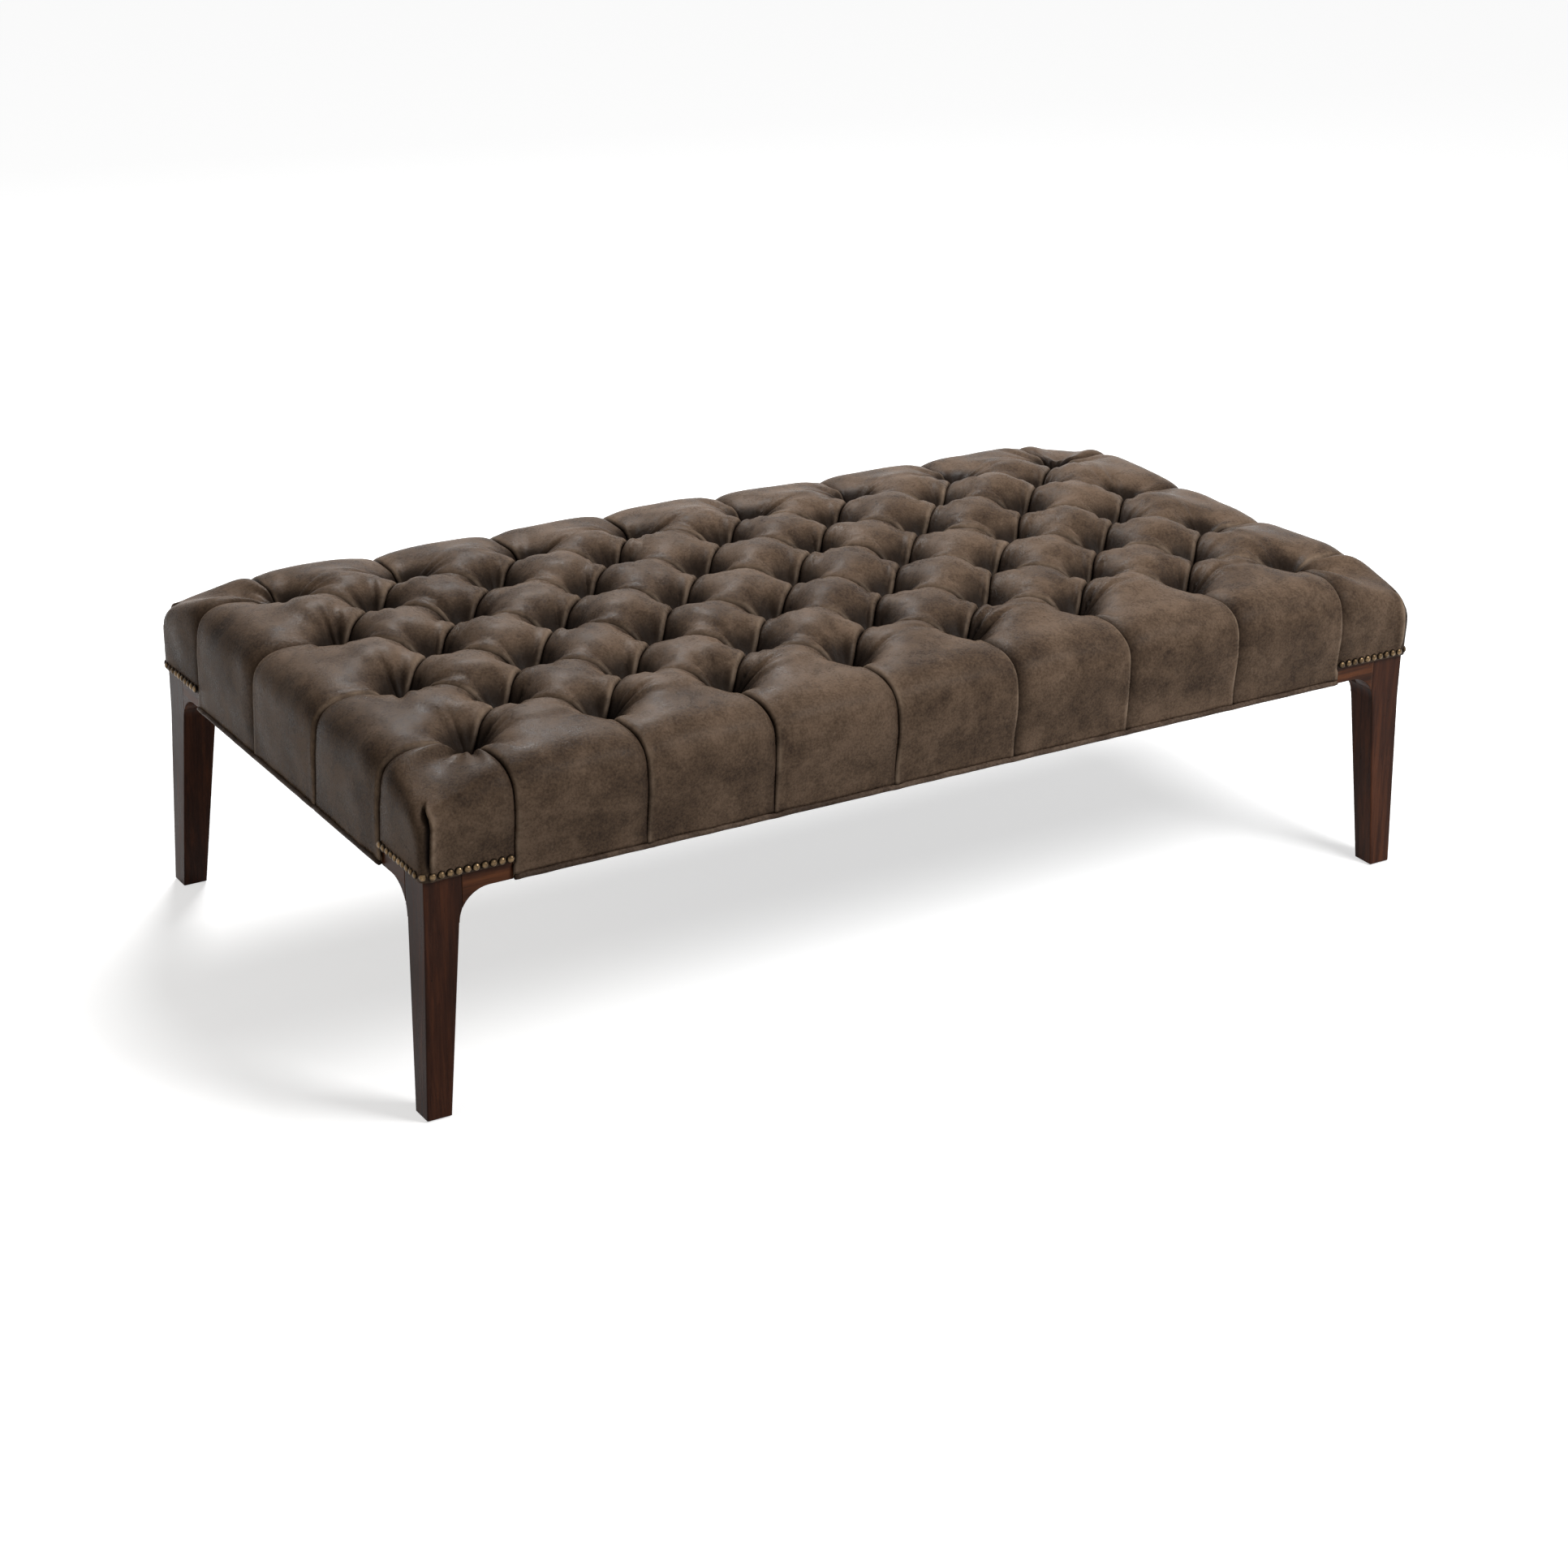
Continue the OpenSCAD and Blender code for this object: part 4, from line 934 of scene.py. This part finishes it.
class Wire:
    # A socket of a node tree. Sums written with it add Math nodes.
    def __init__(self, tree, socket=None):
        self.tree = tree
        self.socket = socket

    def node(self, kind, settings=None, inputs=None, out=0):
        made = self.tree.nodes.new(kind if "Node" in kind else "ShaderNode" + kind)
        for key, value in (settings or {}).items():
            if key == "stops":
                while len(made.color_ramp.elements) < len(value):
                    made.color_ramp.elements.new(0.5)
                for element, (place, shade) in zip(made.color_ramp.elements, value):
                    element.position = place
                    element.color = (*shade, 1)
            else:
                setattr(made, key, value)
        for key, value in (inputs or {}).items():
            if isinstance(value, Wire):
                self.tree.links.new(value.socket, made.inputs[key])
            else:
                made.inputs[key].default_value = value
        return Wire(self.tree, made.outputs[out] if len(made.outputs) else None)

    def output(self, key):
        return Wire(self.tree, self.socket.node.outputs[key])

    def maths(self, operation, a, b=0.0):
        return self.node("Math", {"operation": operation}, {0: a, 1: b})

    def __add__(self, other):
        return self.maths("ADD", self, other)

    def __sub__(self, other):
        return self.maths("SUBTRACT", self, other)

    def __rsub__(self, other):
        return self.maths("SUBTRACT", other, self)

    def __mul__(self, other):
        return self.maths("MULTIPLY", self, other)

    __radd__ = __add__

    def blend(self, low, high):
        return self.node("Mix", {"data_type": "RGBA"}, {0: self, 6: tone(low), 7: tone(high)}, out=2)

    def ranged(self, low, high, newLow=0.0, newHigh=1.0):
        inputs = {0: self, 1: low, 2: high, 3: newLow, 4: newHigh}
        return self.node("MapRange", {"interpolation_type": "SMOOTHSTEP"}, inputs)

    def spread(self, newLow=0.0, newHigh=1.0):
        # A noise keeps mostly to 0.3..0.7
        return self.ranged(0.3, 0.7, newLow, newHigh)

    def ramp(self, first, last, look):
        stops = [(first, look["dark"]), (0.5, look["middle"]), (last, look["light"])]
        return self.node("ValToRGB", {"stops": stops}, {0: self})

    def noise(self, scale, detail, rough=0.5, distort=0.0, seed=None):
        # self is the place; a seed gives a pattern of its own
        inputs = {"Vector": self, "Scale": scale, "Detail": detail, "Roughness": rough, "Distortion": distort}
        if seed is None:
            return self.node("TexNoise", None, inputs)
        return self.node("TexNoise", {"noise_dimensions": "4D"}, dict(inputs, W=seed))

    def attribute(self, name):
        return self.node("Attribute", {"attribute_name": name}, out=2)

    def cells(self, scale, feature="F1", scatter=1.0):
        inputs = {"Vector": self, "Scale": scale, "Randomness": scatter}
        return self.node("TexVoronoi", {"feature": feature}, inputs)


def tone(value):
    return value if isinstance(value, Wire) else (*value, 1)


def scatterTree(name):
    # Puts one shape on every point, turned to the point's own direction
    tree = bpy.data.node_groups.new(name, "GeometryNodeTree")
    for label, kind in (("Points", "Geometry"), ("Shape", "Object"), ("Tilt", "Float"), ("Smallest", "Float"),
                        ("Largest", "Float"), ("Seed", "Int"), ("Finish", "Material")):
        tree.interface.new_socket(label, in_out="INPUT", socket_type="NodeSocket" + kind)
    tree.interface.new_socket("Pieces", in_out="OUTPUT", socket_type="NodeSocketGeometry")
    start = Wire(tree).node("NodeGroupInput")
    tilt, seed = start.output("Tilt"), start.output("Seed")
    facing = start.node("GeometryNodeInputNamedAttribute", {"data_type": "FLOAT_VECTOR"}, {"Name": "outward"})
    turn = start.node("FunctionNodeAlignRotationToVector", {"axis": "Z"}, {"Vector": facing})
    less = tilt * -1
    low = start.node("CombineXYZ", None, {0: less, 1: less})
    high = start.node("CombineXYZ", None, {0: tilt, 1: tilt, 2: 2 * math.pi})
    lean = start.node("FunctionNodeRandomValue", {"data_type": "FLOAT_VECTOR"}, {0: low, 1: high, "Seed": seed})
    lean = start.node("FunctionNodeEulerToRotation", None, {0: lean})
    turn = start.node("FunctionNodeRotateRotation", {"rotation_space": "LOCAL"}, {0: turn, 1: lean})
    limits = {2: start.output("Smallest"), 3: start.output("Largest"), "Seed": seed}
    size = start.node("FunctionNodeRandomValue", {"data_type": "FLOAT"}, limits, out=1)
    shape = start.node("GeometryNodeObjectInfo", None, {"Object": start.output("Shape")}, out="Geometry")
    put = {"Points": start.output("Points"), "Instance": shape, "Rotation": turn, "Scale": size}
    put = start.node("GeometryNodeInstanceOnPoints", None, put)
    real = start.node("GeometryNodeRealizeInstances", None, {0: put})
    dressed = {"Geometry": real, "Material": start.output("Finish")}
    start.node("NodeGroupOutput", None, {0: start.node("GeometryNodeSetMaterial", None, dressed)})
    return tree


def turnedShape(name, profile, sides):
    # A closed shape turned about Z from a profile of (radius, height), from the bottom up
    points = [(0, 0, profile[0][1])]
    for radius, height in profile[1:-1]:
        for k in range(sides):
            angle = 2 * math.pi * k / sides
            points.append((radius * math.cos(angle), radius * math.sin(angle), height))
    points.append((0, 0, profile[-1][1]))
    faces = []
    for k in range(sides):
        n = (k + 1) % sides
        faces.append([0, 1 + n, 1 + k])
        for r in range(len(profile) - 3):
            a = 1 + r * sides
            faces.append([a + k, a + n, a + sides + n, a + sides + k])
        top = 1 + (len(profile) - 3) * sides
        faces.append([top + k, top + n, len(points) - 1])
    shape = newObject(name, np.array(points) * mm, faces)
    return facesOutward(shape)


def markRim(shape, info):
    # Painted shade and grime round the lower edge of a nail's head
    points = np.array([tuple(v.co) for v in shape.data.vertices]) / mm
    far = np.hypot(points[:, 0], points[:, 1]) / info["headRadius"]
    addAttribute(shape, "rim", smoothStep(*info["rimDarkFrom"], far) * (points[:, 2] < info["rimDarkBelow"]))


def scatter(name, tree, places, ways, shape, info, material):
    carrier = newObject(name, np.array(places) * mm, [])
    layer = carrier.data.attributes.new("outward", "FLOAT_VECTOR", "POINT")
    layer.data.foreach_set("vector", np.array(ways, dtype=np.float32).ravel())
    modifier = carrier.modifiers.new("scatter", "NODES")
    modifier.node_group = tree
    inputs = {item.name: item.identifier for item in tree.interface.items_tree if item.in_out == "INPUT"}
    modifier[inputs["Shape"]] = shape
    modifier[inputs["Finish"]] = material
    for label in ("Tilt", "Smallest", "Largest", "Seed"):
        modifier[inputs[label]] = info[label.lower()]
    evaluated = carrier.evaluated_get(bpy.context.evaluated_depsgraph_get())
    mesh = bpy.data.meshes.new_from_object(evaluated)
    carrier.modifiers.clear()
    carrier.data = mesh
    mesh.shade_smooth()
    return carrier


nail = {
    "headRadius": 5.05,
    "headHeight": 3.8,
    # painted shade and grime on a head's lower rim: from what share of the radius, and below what height
    "rimDarkFrom": (0.55, 0.97),  # share of the radius
    "rimDarkBelow": 2.9,
    "shankRadius": 0.8,
    "shankLength": 11,
    "perSide": 10,
    "fromCorner": 9.6,
    "fromEnd": 5.25,
    "lift": 5.05,  # centre above the leather's edge
    "seat": 4.2,  # outside the wood
    "cornerSeat": 0.8,
    "tilt": 0.07,
    "smallest": 0.97,
    "largest": 1.02,
    "seed": 4,
}
button = {
    "radius": 9,
    "height": 6,
    "tilt": 0.09,
    "smallest": 0.97,
    "largest": 1.03,
    "seed": 9,
}


def nailPlaces(info, sx, sy):
    places, ways = [], []
    z = woodLine + info["lift"]
    for reach, isLong in ((ottoman["bracketX"], True), (ottoman["bracketY"], False)):
        pitch = (reach - info["fromEnd"] - info["fromCorner"]) / (info["perSide"] - 1)
        for k in range(info["perSide"]):
            u, v = info["fromCorner"] + k * pitch, -info["seat"]
            if not isLong:
                u, v = v, u
            places.append((sx * (halfX - u), sy * (halfY - v), z))
            ways.append((0, sy, 0) if isLong else (sx, 0, 0))
    c = info["cornerSeat"]
    places.append((sx * (halfX + c), sy * (halfY + c), z))
    ways.append((sx * math.sqrt(0.5), sy * math.sqrt(0.5), 0))
    return places, ways


def tuftPlaces():
    places = []
    for r in range(-lastRow, lastRow + 1):
        for c in range(-lastColumn, lastColumn + 1):
            if (c + r) % 2 == 0:
                x, y = c * stepX, r * stepY
                places.append((
                    float(x + cover["wander"] * wanderX(x, y)),
                    float(y + cover["wander"] * wanderY(x, y)),
                    ottoman["wellFloor"] + cover["uneven"] * float(unevenField(x, y)),
                ))
    return places


def newMaterial(name):
    material = bpy.data.materials.new(name)
    material.use_nodes = True
    material.node_tree.nodes.clear()
    return material, Wire(material.node_tree).node("TexCoord", out=3)


def finishMaterial(material, colour, rough, bump, more=None):
    # bump: strength, distance, height and, where it has one, the normal below it
    bump = colour.node("Bump", None, dict(zip(("Strength", "Distance", "Height", "Normal"), bump)))
    inputs = {"Base Color": colour, "Roughness": rough, "Normal": bump, **(more or {})}
    shader = colour.node("BsdfPrincipled", None, inputs)
    colour.node("OutputMaterial", None, {0: shader})
    return material


leatherLook = {
    "seed": 3.0,
    # deep: the colour of the painted shade in the hollows and wells
    "deep": (0.012, 0.0080, 0.0058),
    "dark": (0.037, 0.0240, 0.0170),
    "middle": (0.082, 0.0540, 0.0358),
    "light": (0.138, 0.093, 0.064),
    # a lighter colour for real scuffs, and for the painted highlight along the folds' rolled edges
    "wearAndHighlight": (0.260, 0.190, 0.135),
    "roughness": 0.29,
    "shine": 0.022,
}


def makeLeather(name, look, withFolds=True):
    material, place = newMaterial(name)
    patchy = place.noise(13, 4, 0.55, 0.5, look["seed"])
    mottle = place.noise(46, 7, 0.68, 0.5, look["seed"] + 5)
    fine = place.noise(330, 5, 0.65)
    scuffs = place.noise(120, 6, 0.72, 1.1, look["seed"] + 9)
    pores = place.cells(620, "DISTANCE_TO_EDGE")
    shade = patchy.ranged(0.36, 0.64) * 0.36 + mottle.ranged(0.32, 0.7) * 0.28 + fine.spread() * 0.36
    colour = shade.ramp(0.12, 0.92, look)
    colour = (scuffs.ranged(0.56, 0.74) * patchy.ranged(0.4, 0.62) * 0.35).blend(colour, look["wearAndHighlight"])
    if withFolds:
        ridge, dark, low = (place.attribute(k) for k in ("ridge", "dark", "low"))
        # painted shade in the hollows, by how deep the leather lies
        colour = (low * 0.93).blend(colour, look["deep"])
        # painted highlight, with wear, along the rolled edges of the folds
        colour = (ridge * mottle.spread(0.16, 0.6)).blend(colour, look["wearAndHighlight"])
        # painted shade: near black along the creases, in the corner gaps and down the wells
        colour = dark.blend(colour, (0.005, 0.003, 0.0025))
    rough = look["roughness"] + mottle.spread(-0.06, 0.08) + fine.spread(-0.04, 0.04)
    height = fine * 0.6 + pores.ranged(0.0, 0.12) * 0.3 + mottle * 0.6
    return finishMaterial(material, colour, rough, (0.3, 0.0012, height), {"Specular IOR Level": look["shine"]})


leatherMaterial = makeLeather("waxedLeather", leatherLook)
leatherCover.data.materials.append(leatherMaterial)


mahoganyLook = {
    "dark": (0.014, 0.0055, 0.0034),
    "middle": (0.036, 0.0125, 0.0068),
    "light": (0.085, 0.0290, 0.0135),
    "bare": (0.090, 0.040, 0.020),
    "roughness": 0.30,
    "shine": 0.06,
    "edge": 0.0022,
}


def makeStained(name, look, grain):
    # Stained and lacquered wood: grain is the size of the pattern along X, Y and Z
    material, place = newMaterial(name)
    stretched = place.node("Mapping", None, {"Vector": place, "Scale": grain})
    bend = place.noise(5, 2)
    fibre = stretched.noise(1.0, 8, 0.65, 0.25)
    broad = stretched.noise(0.16, 3, distort=1.2)
    pore = stretched.noise(3.2, 3, 0.7)
    cloud = place.noise(16, 4)
    shade = fibre.spread() * 0.45 + broad.spread() * 0.35 + bend.spread() * 0.2
    colour = shade.ramp(0.08, 0.95, look)
    poreMask = pore.ranged(0.6, 0.74)
    colour = (poreMask * 0.6).blend(colour, (0.008, 0.003, 0.002))
    round_ = place.node("Bevel", {"samples": 6}, {"Radius": look["edge"]})
    face = place.node("NewGeometry", out=1)
    agree = place.node("VectorMath", {"operation": "DOT_PRODUCT"}, {0: round_, 1: face}, out=1)
    edge = (1 - agree).ranged(0.01, 0.12) * cloud.ranged(0.36, 0.62)
    colour = (edge * 0.75).blend(colour, look["bare"])
    speck = place.cells(95)
    chosen = place.noise(21, 1)
    spots = (1 - speck.ranged(0.05, 0.12)) * chosen.ranged(0.56, 0.66)
    colour = (spots * 0.8).blend(colour, (0.006, 0.003, 0.002))
    rough = look["roughness"] + fibre.spread(-0.04, 0.05) + cloud.spread(-0.03, 0.06) + edge * 0.12
    height = fibre * 0.5 - poreMask * 0.5 - spots * 0.8
    shine = {"Specular IOR Level": look["shine"]}
    return finishMaterial(material, colour, rough, (0.16, 0.0006, height, round_), shine)


bareLook = {
    "beech": ((0.42, 0.27, 0.15), (0.60, 0.42, 0.26)),
    "plywood": ((0.44, 0.29, 0.16), (0.66, 0.49, 0.31)),
}


def makeBareWood(name, tones, grain, layers=0.0):
    material, place = newMaterial(name)
    stretched = place.node("Mapping", None, {"Vector": place, "Scale": grain})
    fibre = stretched.noise(1.0, 7, 0.6, 0.3)
    broad = stretched.noise(0.12, 3, distort=1.5)
    shade = fibre.spread() * 0.6 + broad.spread() * 0.4
    colour = shade.blend(tones[0], tones[1])
    if layers:
        height = place.node("SeparateXYZ", None, {0: place}, out=2)
        face = place.node("SeparateXYZ", None, {0: place.node("NewGeometry", out=1)}, out=2)
        band = place.maths("SINE", height * (2 * math.pi / layers)).ranged(-0.2, 0.2)
        onEdge = 1 - place.maths("ABSOLUTE", face).ranged(0.4, 0.8)
        colour = (band * onEdge * 0.6).blend(colour, (0.2, 0.12, 0.065))
    rough = 0.62 + fibre.spread(-0.06, 0.06)
    return finishMaterial(material, colour, rough, (0.25, 0.0006, fibre))


brassLook = {
    "bright": (0.220, 0.148, 0.080),
    "tarnish": (0.035, 0.022, 0.012),
    # painted shade and grime on the heads' lower rims
    "grimeAndShade": (0.006, 0.004, 0.003),
    "roughness": 0.24,
}


def makeBrass(name, look):
    material, place = newMaterial(name)
    cloud = place.noise(170, 4, 0.6)
    nailToNail = place.noise(38, 1)
    dent = place.cells(420, "SMOOTH_F1")
    mask = cloud.ranged(0.36, 0.64) * 0.6 + nailToNail.ranged(0.35, 0.65) * 0.4
    colour = mask.blend(look["tarnish"], look["bright"])
    rim = place.attribute("rim")
    # painted shade and grime round each head's lower rim
    colour = rim.blend(colour, look["grimeAndShade"])
    rough = look["roughness"] + mask.ranged(0.2, 0.9, 0.14, -0.03) + rim * 0.3
    return finishMaterial(material, colour, rough, (0.35, 0.0005, dent * 0.7 + cloud * 0.3), {"Metallic": 1.0})


def makePlain(name, low, high, roughness, metal=0.0, scale=300, depth=0.0003):
    # Foam, wadding, zinc, wire, twine and nylon: a fine mottle with its own roughness
    material, place = newMaterial(name)
    fine = place.noise(scale, 5, 0.65)
    wide = place.noise(scale / 12, 3)
    shade = fine.spread() * 0.6 + wide.spread() * 0.4
    rough = roughness + fine.spread(-0.08, 0.08)
    return finishMaterial(material, shade.blend(low, high), rough, (0.4, depth, fine), {"Metallic": metal})


def makeCloth(name):
    # Black non-woven cloth with a fine thermal-bond dimple
    material, place = newMaterial(name)
    fibres = place.noise(700, 4, distort=1.5)
    dimple = place.cells(520, scatter=0.2)
    shade = fibres.spread() * 0.6 + dimple.ranged(0.1, 0.5) * 0.4
    colour = shade.blend((0.008, 0.008, 0.009), (0.035, 0.035, 0.037))
    height = fibres * 0.5 + dimple.ranged(0.1, 0.4) * 0.5
    return finishMaterial(material, colour, 0.88, (0.5, 0.0003, height))


pipingLook = dict(leatherLook, seed=8.0, middle=(0.070, 0.047, 0.034), light=(0.135, 0.095, 0.068))
pipingMaterial = makeLeather("pipingLeather", pipingLook, withFolds=False)
buttonMaterial = makeLeather("buttonLeather", dict(leatherLook, seed=12.0), withFolds=False)
brass = makeBrass("antiqueBrass", brassLook)
mahoganyUp = makeStained("mahoganyUpright", mahoganyLook, (150, 150, 9))
# A lighter copy of the mahogany for the brackets: painted light for their lit fronts
litBracketLook = dict(mahoganyLook, middle=(0.052, 0.0185, 0.0088), light=(0.125, 0.045, 0.019))
mahoganyX = makeStained("mahoganyLengthways", litBracketLook, (9, 150, 150))
mahoganyY = makeStained("mahoganyCrossways", litBracketLook, (150, 9, 150))
beechX = makeBareWood("beechLengthways", bareLook["beech"], (7, 110, 110))
beechY = makeBareWood("beechCrossways", bareLook["beech"], (110, 7, 110))
plywood = makeBareWood("plywood", bareLook["plywood"], (6, 90, 90), layers=0.004)
zinc = makePlain("zincPlate", (0.42, 0.42, 0.43), (0.62, 0.62, 0.63), 0.36, metal=1.0, scale=900)
wireSteel = makePlain("stapleWire", (0.38, 0.38, 0.38), (0.6, 0.6, 0.6), 0.32, metal=1.0, scale=1200)
foamFinish = makePlain("creamFoam", (0.72, 0.60, 0.33), (0.84, 0.74, 0.48), 0.9, scale=500, depth=0.0008)
waddingFinish = makePlain("whiteWadding", (0.70, 0.70, 0.68), (0.84, 0.84, 0.82), 0.95, scale=350, depth=0.001)
twineFinish = makePlain("waxedTwine", (0.58, 0.52, 0.40), (0.78, 0.72, 0.58), 0.6, scale=1500, depth=0.0002)
nylon = makePlain("blackNylon", (0.012, 0.012, 0.012), (0.03, 0.03, 0.03), 0.5, scale=800)
clothFinish = makeCloth("blackCloth")

for piece in pipings:
    piece.data.materials.append(pipingMaterial)
foamPad.data.materials.append(foamFinish)
sideWadding.data.materials.append(waddingFinish)


# The first name or start of a name that fits gives a node's finish
finishes = {
    "leg_": mahoganyUp,
    "bracket_dowels": beechX,
    "rail_front": beechX,
    "rail_back": beechX,
    "rail_dowels": beechX,
    "rail_": beechY,
    "cross_rail": beechY,
    "corner_block": beechY,
    "corner_screws": zinc,
    "deck_screws": zinc,
    "twine_staples": wireSteel,
    "dust_cover_staples": wireSteel,
    "glide_": nylon,
    "plywood_deck": plywood,
    "tuft_twines": twineFinish,
    "bracket_": mahoganyY,
}
for name, node in frame["nodes"].items():
    fitting = [finish for start, finish in finishes.items() if name.startswith(start)]
    if name.startswith("bracket_") and name.endswith("long"):
        fitting = [mahoganyX]
    for slot in node.material_slots if fitting else ():
        slot.material = fitting[0]
print("materials made")

scatterPoints = scatterTree("scatterOnPoints")
shank, head = nail["shankRadius"], nail["headRadius"]
nailShape = turnedShape("nailShape", [
    (0, -nail["shankLength"]), (shank * 0.4, -nail["shankLength"] + 1), (shank, -nail["shankLength"] + 3),
    (shank, -0.5), (head * 0.94, -0.5), (head, -0.1), (head * 0.985, 0.35),
    (head * 0.87, 1.55), (head * 0.65, 2.7), (head * 0.34, 3.5), (0, nail["headHeight"])], 18)
markRim(nailShape, nail)
wide = button["radius"]
buttonShape = turnedShape("buttonShape", [
    (0, 0), (wide * 0.85, 0.05), (wide * 0.98, 1.2), (wide, 2.2), (wide * 0.95, 3.4),
    (wide * 0.8, 4.7), (wide * 0.5, 5.6), (0, button["height"])], 20)
corners = {"front_left": (-1, -1), "front_right": (1, -1), "back_left": (-1, 1), "back_right": (1, 1)}
for corner, (sx, sy) in corners.items():
    places, ways = nailPlaces(nail, sx, sy)
    label = "nails" + corner.title().replace("_", "")
    own = dict(nail, seed=nail["seed"] + sx + 3 * sy)
    piece = scatter(label, scatterPoints, places, ways, nailShape, own, brass)
    standIn(piece, "nails_" + corner)
places = tuftPlaces()
ways = [(0, 0, 1)] * len(places)
buttons = scatter("tuftButtons", scatterPoints, places, ways, buttonShape, button, buttonMaterial)
standIn(buttons, "tuft_buttons")
for shape in (nailShape, buttonShape):
    bpy.data.objects.remove(shape)
print("nails and buttons:", len(places), "buttons")


dustCover = {
    "height": 274.1,
    "thick": 0.6,
    "sag": 4.0,
    "pucker": 0.5,
    "inset": 12,
    "clear": 2,
    "spacing": 18,
    "leg": 47,
    "rail": 28,
    "level": 30,  # no sag this near the edges
}


def buildDustCover(info):
    c = info["clear"]
    cutX, cutY = ([info["inset"], info["rail"] + c, info["leg"] + c, ottoman[reach] + c]
                  for reach in ("bracketX", "bracketY"))

    def lines(half, cuts):
        marks = sorted({half - v for v in cuts} | {v - half for v in cuts})
        values = [marks[0]]
        for mark in marks[1:]:
            count = max(1, round((mark - values[-1]) / info["spacing"]))
            values += list(np.linspace(values[-1], mark, count + 1)[1:])
        return np.array(values)

    def isCloth(x, y):
        u, v = halfX - abs(x), halfY - abs(y)
        return v > cutY[3 - sum(u >= cut for cut in cutX[1:])]
    xs, ys = lines(halfX, cutX), lines(halfY, cutY)
    used, faces, points = {}, [], []
    area = 0.0

    def corner(i, j):
        if (i, j) not in used:
            x, y = xs[i], ys[j]
            fx, fy = 1 - (x / (halfX - info["level"])) ** 2, 1 - (y / (halfY - info["level"])) ** 2
            sag = info["sag"] * max(0, fx) ** 0.7 * max(0, fy) ** 0.7
            pucker = info["pucker"] * float(sideField(x, y, 0)) * min(1, max(0, fx * fy) * 6)
            used[(i, j)] = len(points)
            points.append((x, y, info["height"] - sag - abs(pucker)))
        return used[(i, j)]
    for i in range(len(xs) - 1):
        for j in range(len(ys) - 1):
            if isCloth((xs[i] + xs[i + 1]) / 2, (ys[j] + ys[j + 1]) / 2):
                faces.append([corner(i, j), corner(i + 1, j), corner(i + 1, j + 1), corner(i, j + 1)])
                area += (xs[i + 1] - xs[i]) * (ys[j + 1] - ys[j])
    lower = len(points)
    edges = dict.fromkeys((a, b) for f in faces for a, b in zip(f, f[1:] + f[:1]))
    upper = [(p[0], p[1], p[2] + info["thick"]) for p in points]
    allFaces = [f[::-1] for f in faces] + [[k + lower for k in f] for f in faces]
    for a, b in edges:
        if (b, a) not in edges:
            allFaces.append([a, b, b + lower, a + lower])
    piece = facesOutward(newObject("dustCover", np.array(points + upper) * mm, allFaces))
    return piece, area * mm * mm


dustCloth, clothArea = buildDustCover(dustCover)
dustCloth.data.materials.append(clothFinish)
standIn(dustCloth, "dust_cover")
print("dust cover made")


stage = {
    "floorReach": 12,  # metres
    "floorTone": 0.60,
    "nearGlow": 0.64,
    "farGlow": 0.86,
    "glowFrom": 0.75,  # metres from the middle of the floor
    "glowTo": 1.5,
    "skyForLight": 0.13,
}


def seenRays(wire):
    # 1 for what the camera sees directly, in a reflection or through glass
    camera = wire.node("LightPath")
    seen = wire.maths("MAXIMUM", camera, camera.output("Is Glossy Ray"))
    return wire.maths("MAXIMUM", seen, camera.output("Is Transmission Ray"))


def addStage(info):
    r = info["floorReach"]
    floor = newObject("floor", [(-r, -r, 0), (r, -r, 0), (r, r, 0), (-r, r, 0)], [(0, 1, 2, 3)])
    material, place = newMaterial("paleFloor")
    speck = place.noise(40, 3)
    away = place.node("VectorMath", {"operation": "LENGTH"}, {0: place}, out=1)
    strength = away.ranged(*(info[k] for k in ("glowFrom", "glowTo", "nearGlow", "farGlow")))
    strength = seenRays(place) * strength
    colour = speck.spread().blend((info["floorTone"],) * 3, (info["floorTone"] + 0.02,) * 3)
    diffuse = place.node("BsdfDiffuse", None, {0: colour})
    glow = place.node("Emission", None, {0: (1, 1, 1, 1), 1: strength})
    place.node("OutputMaterial", None, {0: place.node("AddShader", None, {0: diffuse, 1: glow})})
    floor.data.materials.append(material)
    world = bpy.data.worlds.new("studio")
    scene.world = world
    world.use_nodes = True
    world.node_tree.nodes.clear()
    sky = Wire(world.node_tree)
    strength = info["skyForLight"] + seenRays(sky) * (1 - info["skyForLight"])
    background = sky.node("Background", None, {0: (1, 1, 1, 1), 1: strength})
    sky.node("OutputWorld", None, {0: background})


def addLamp(name, place, target, size, power, tint=(1, 1, 1)):
    data = bpy.data.lights.new(name, "AREA")
    data.color = tint
    data.shape = "DISK"
    data.size = size
    data.energy = power
    lamp = bpy.data.objects.new(name, data)
    way = (Vector(target) - Vector(place)).normalized()
    turned = way.to_track_quat("-Z", "Y").to_matrix().to_4x4()
    lamp.matrix_world = Matrix.Translation(Vector(place)) @ turned
    scene.collection.objects.link(lamp)


addStage(stage)
addLamp("keyLamp", (0.45, 1.75, 2.25), (0.1, 0, 0.3), 1.0, 80)
addLamp("softLamp", (1.1, -1.9, 2.3), (0, 0, 0.3), 1.2, 82)
addLamp("warmLamp", (-3.2, -0.5, 1.3), (-0.5, 0, 0.3), 1.6, 8, (1, 0.82, 0.58))
print("stage and light ready")
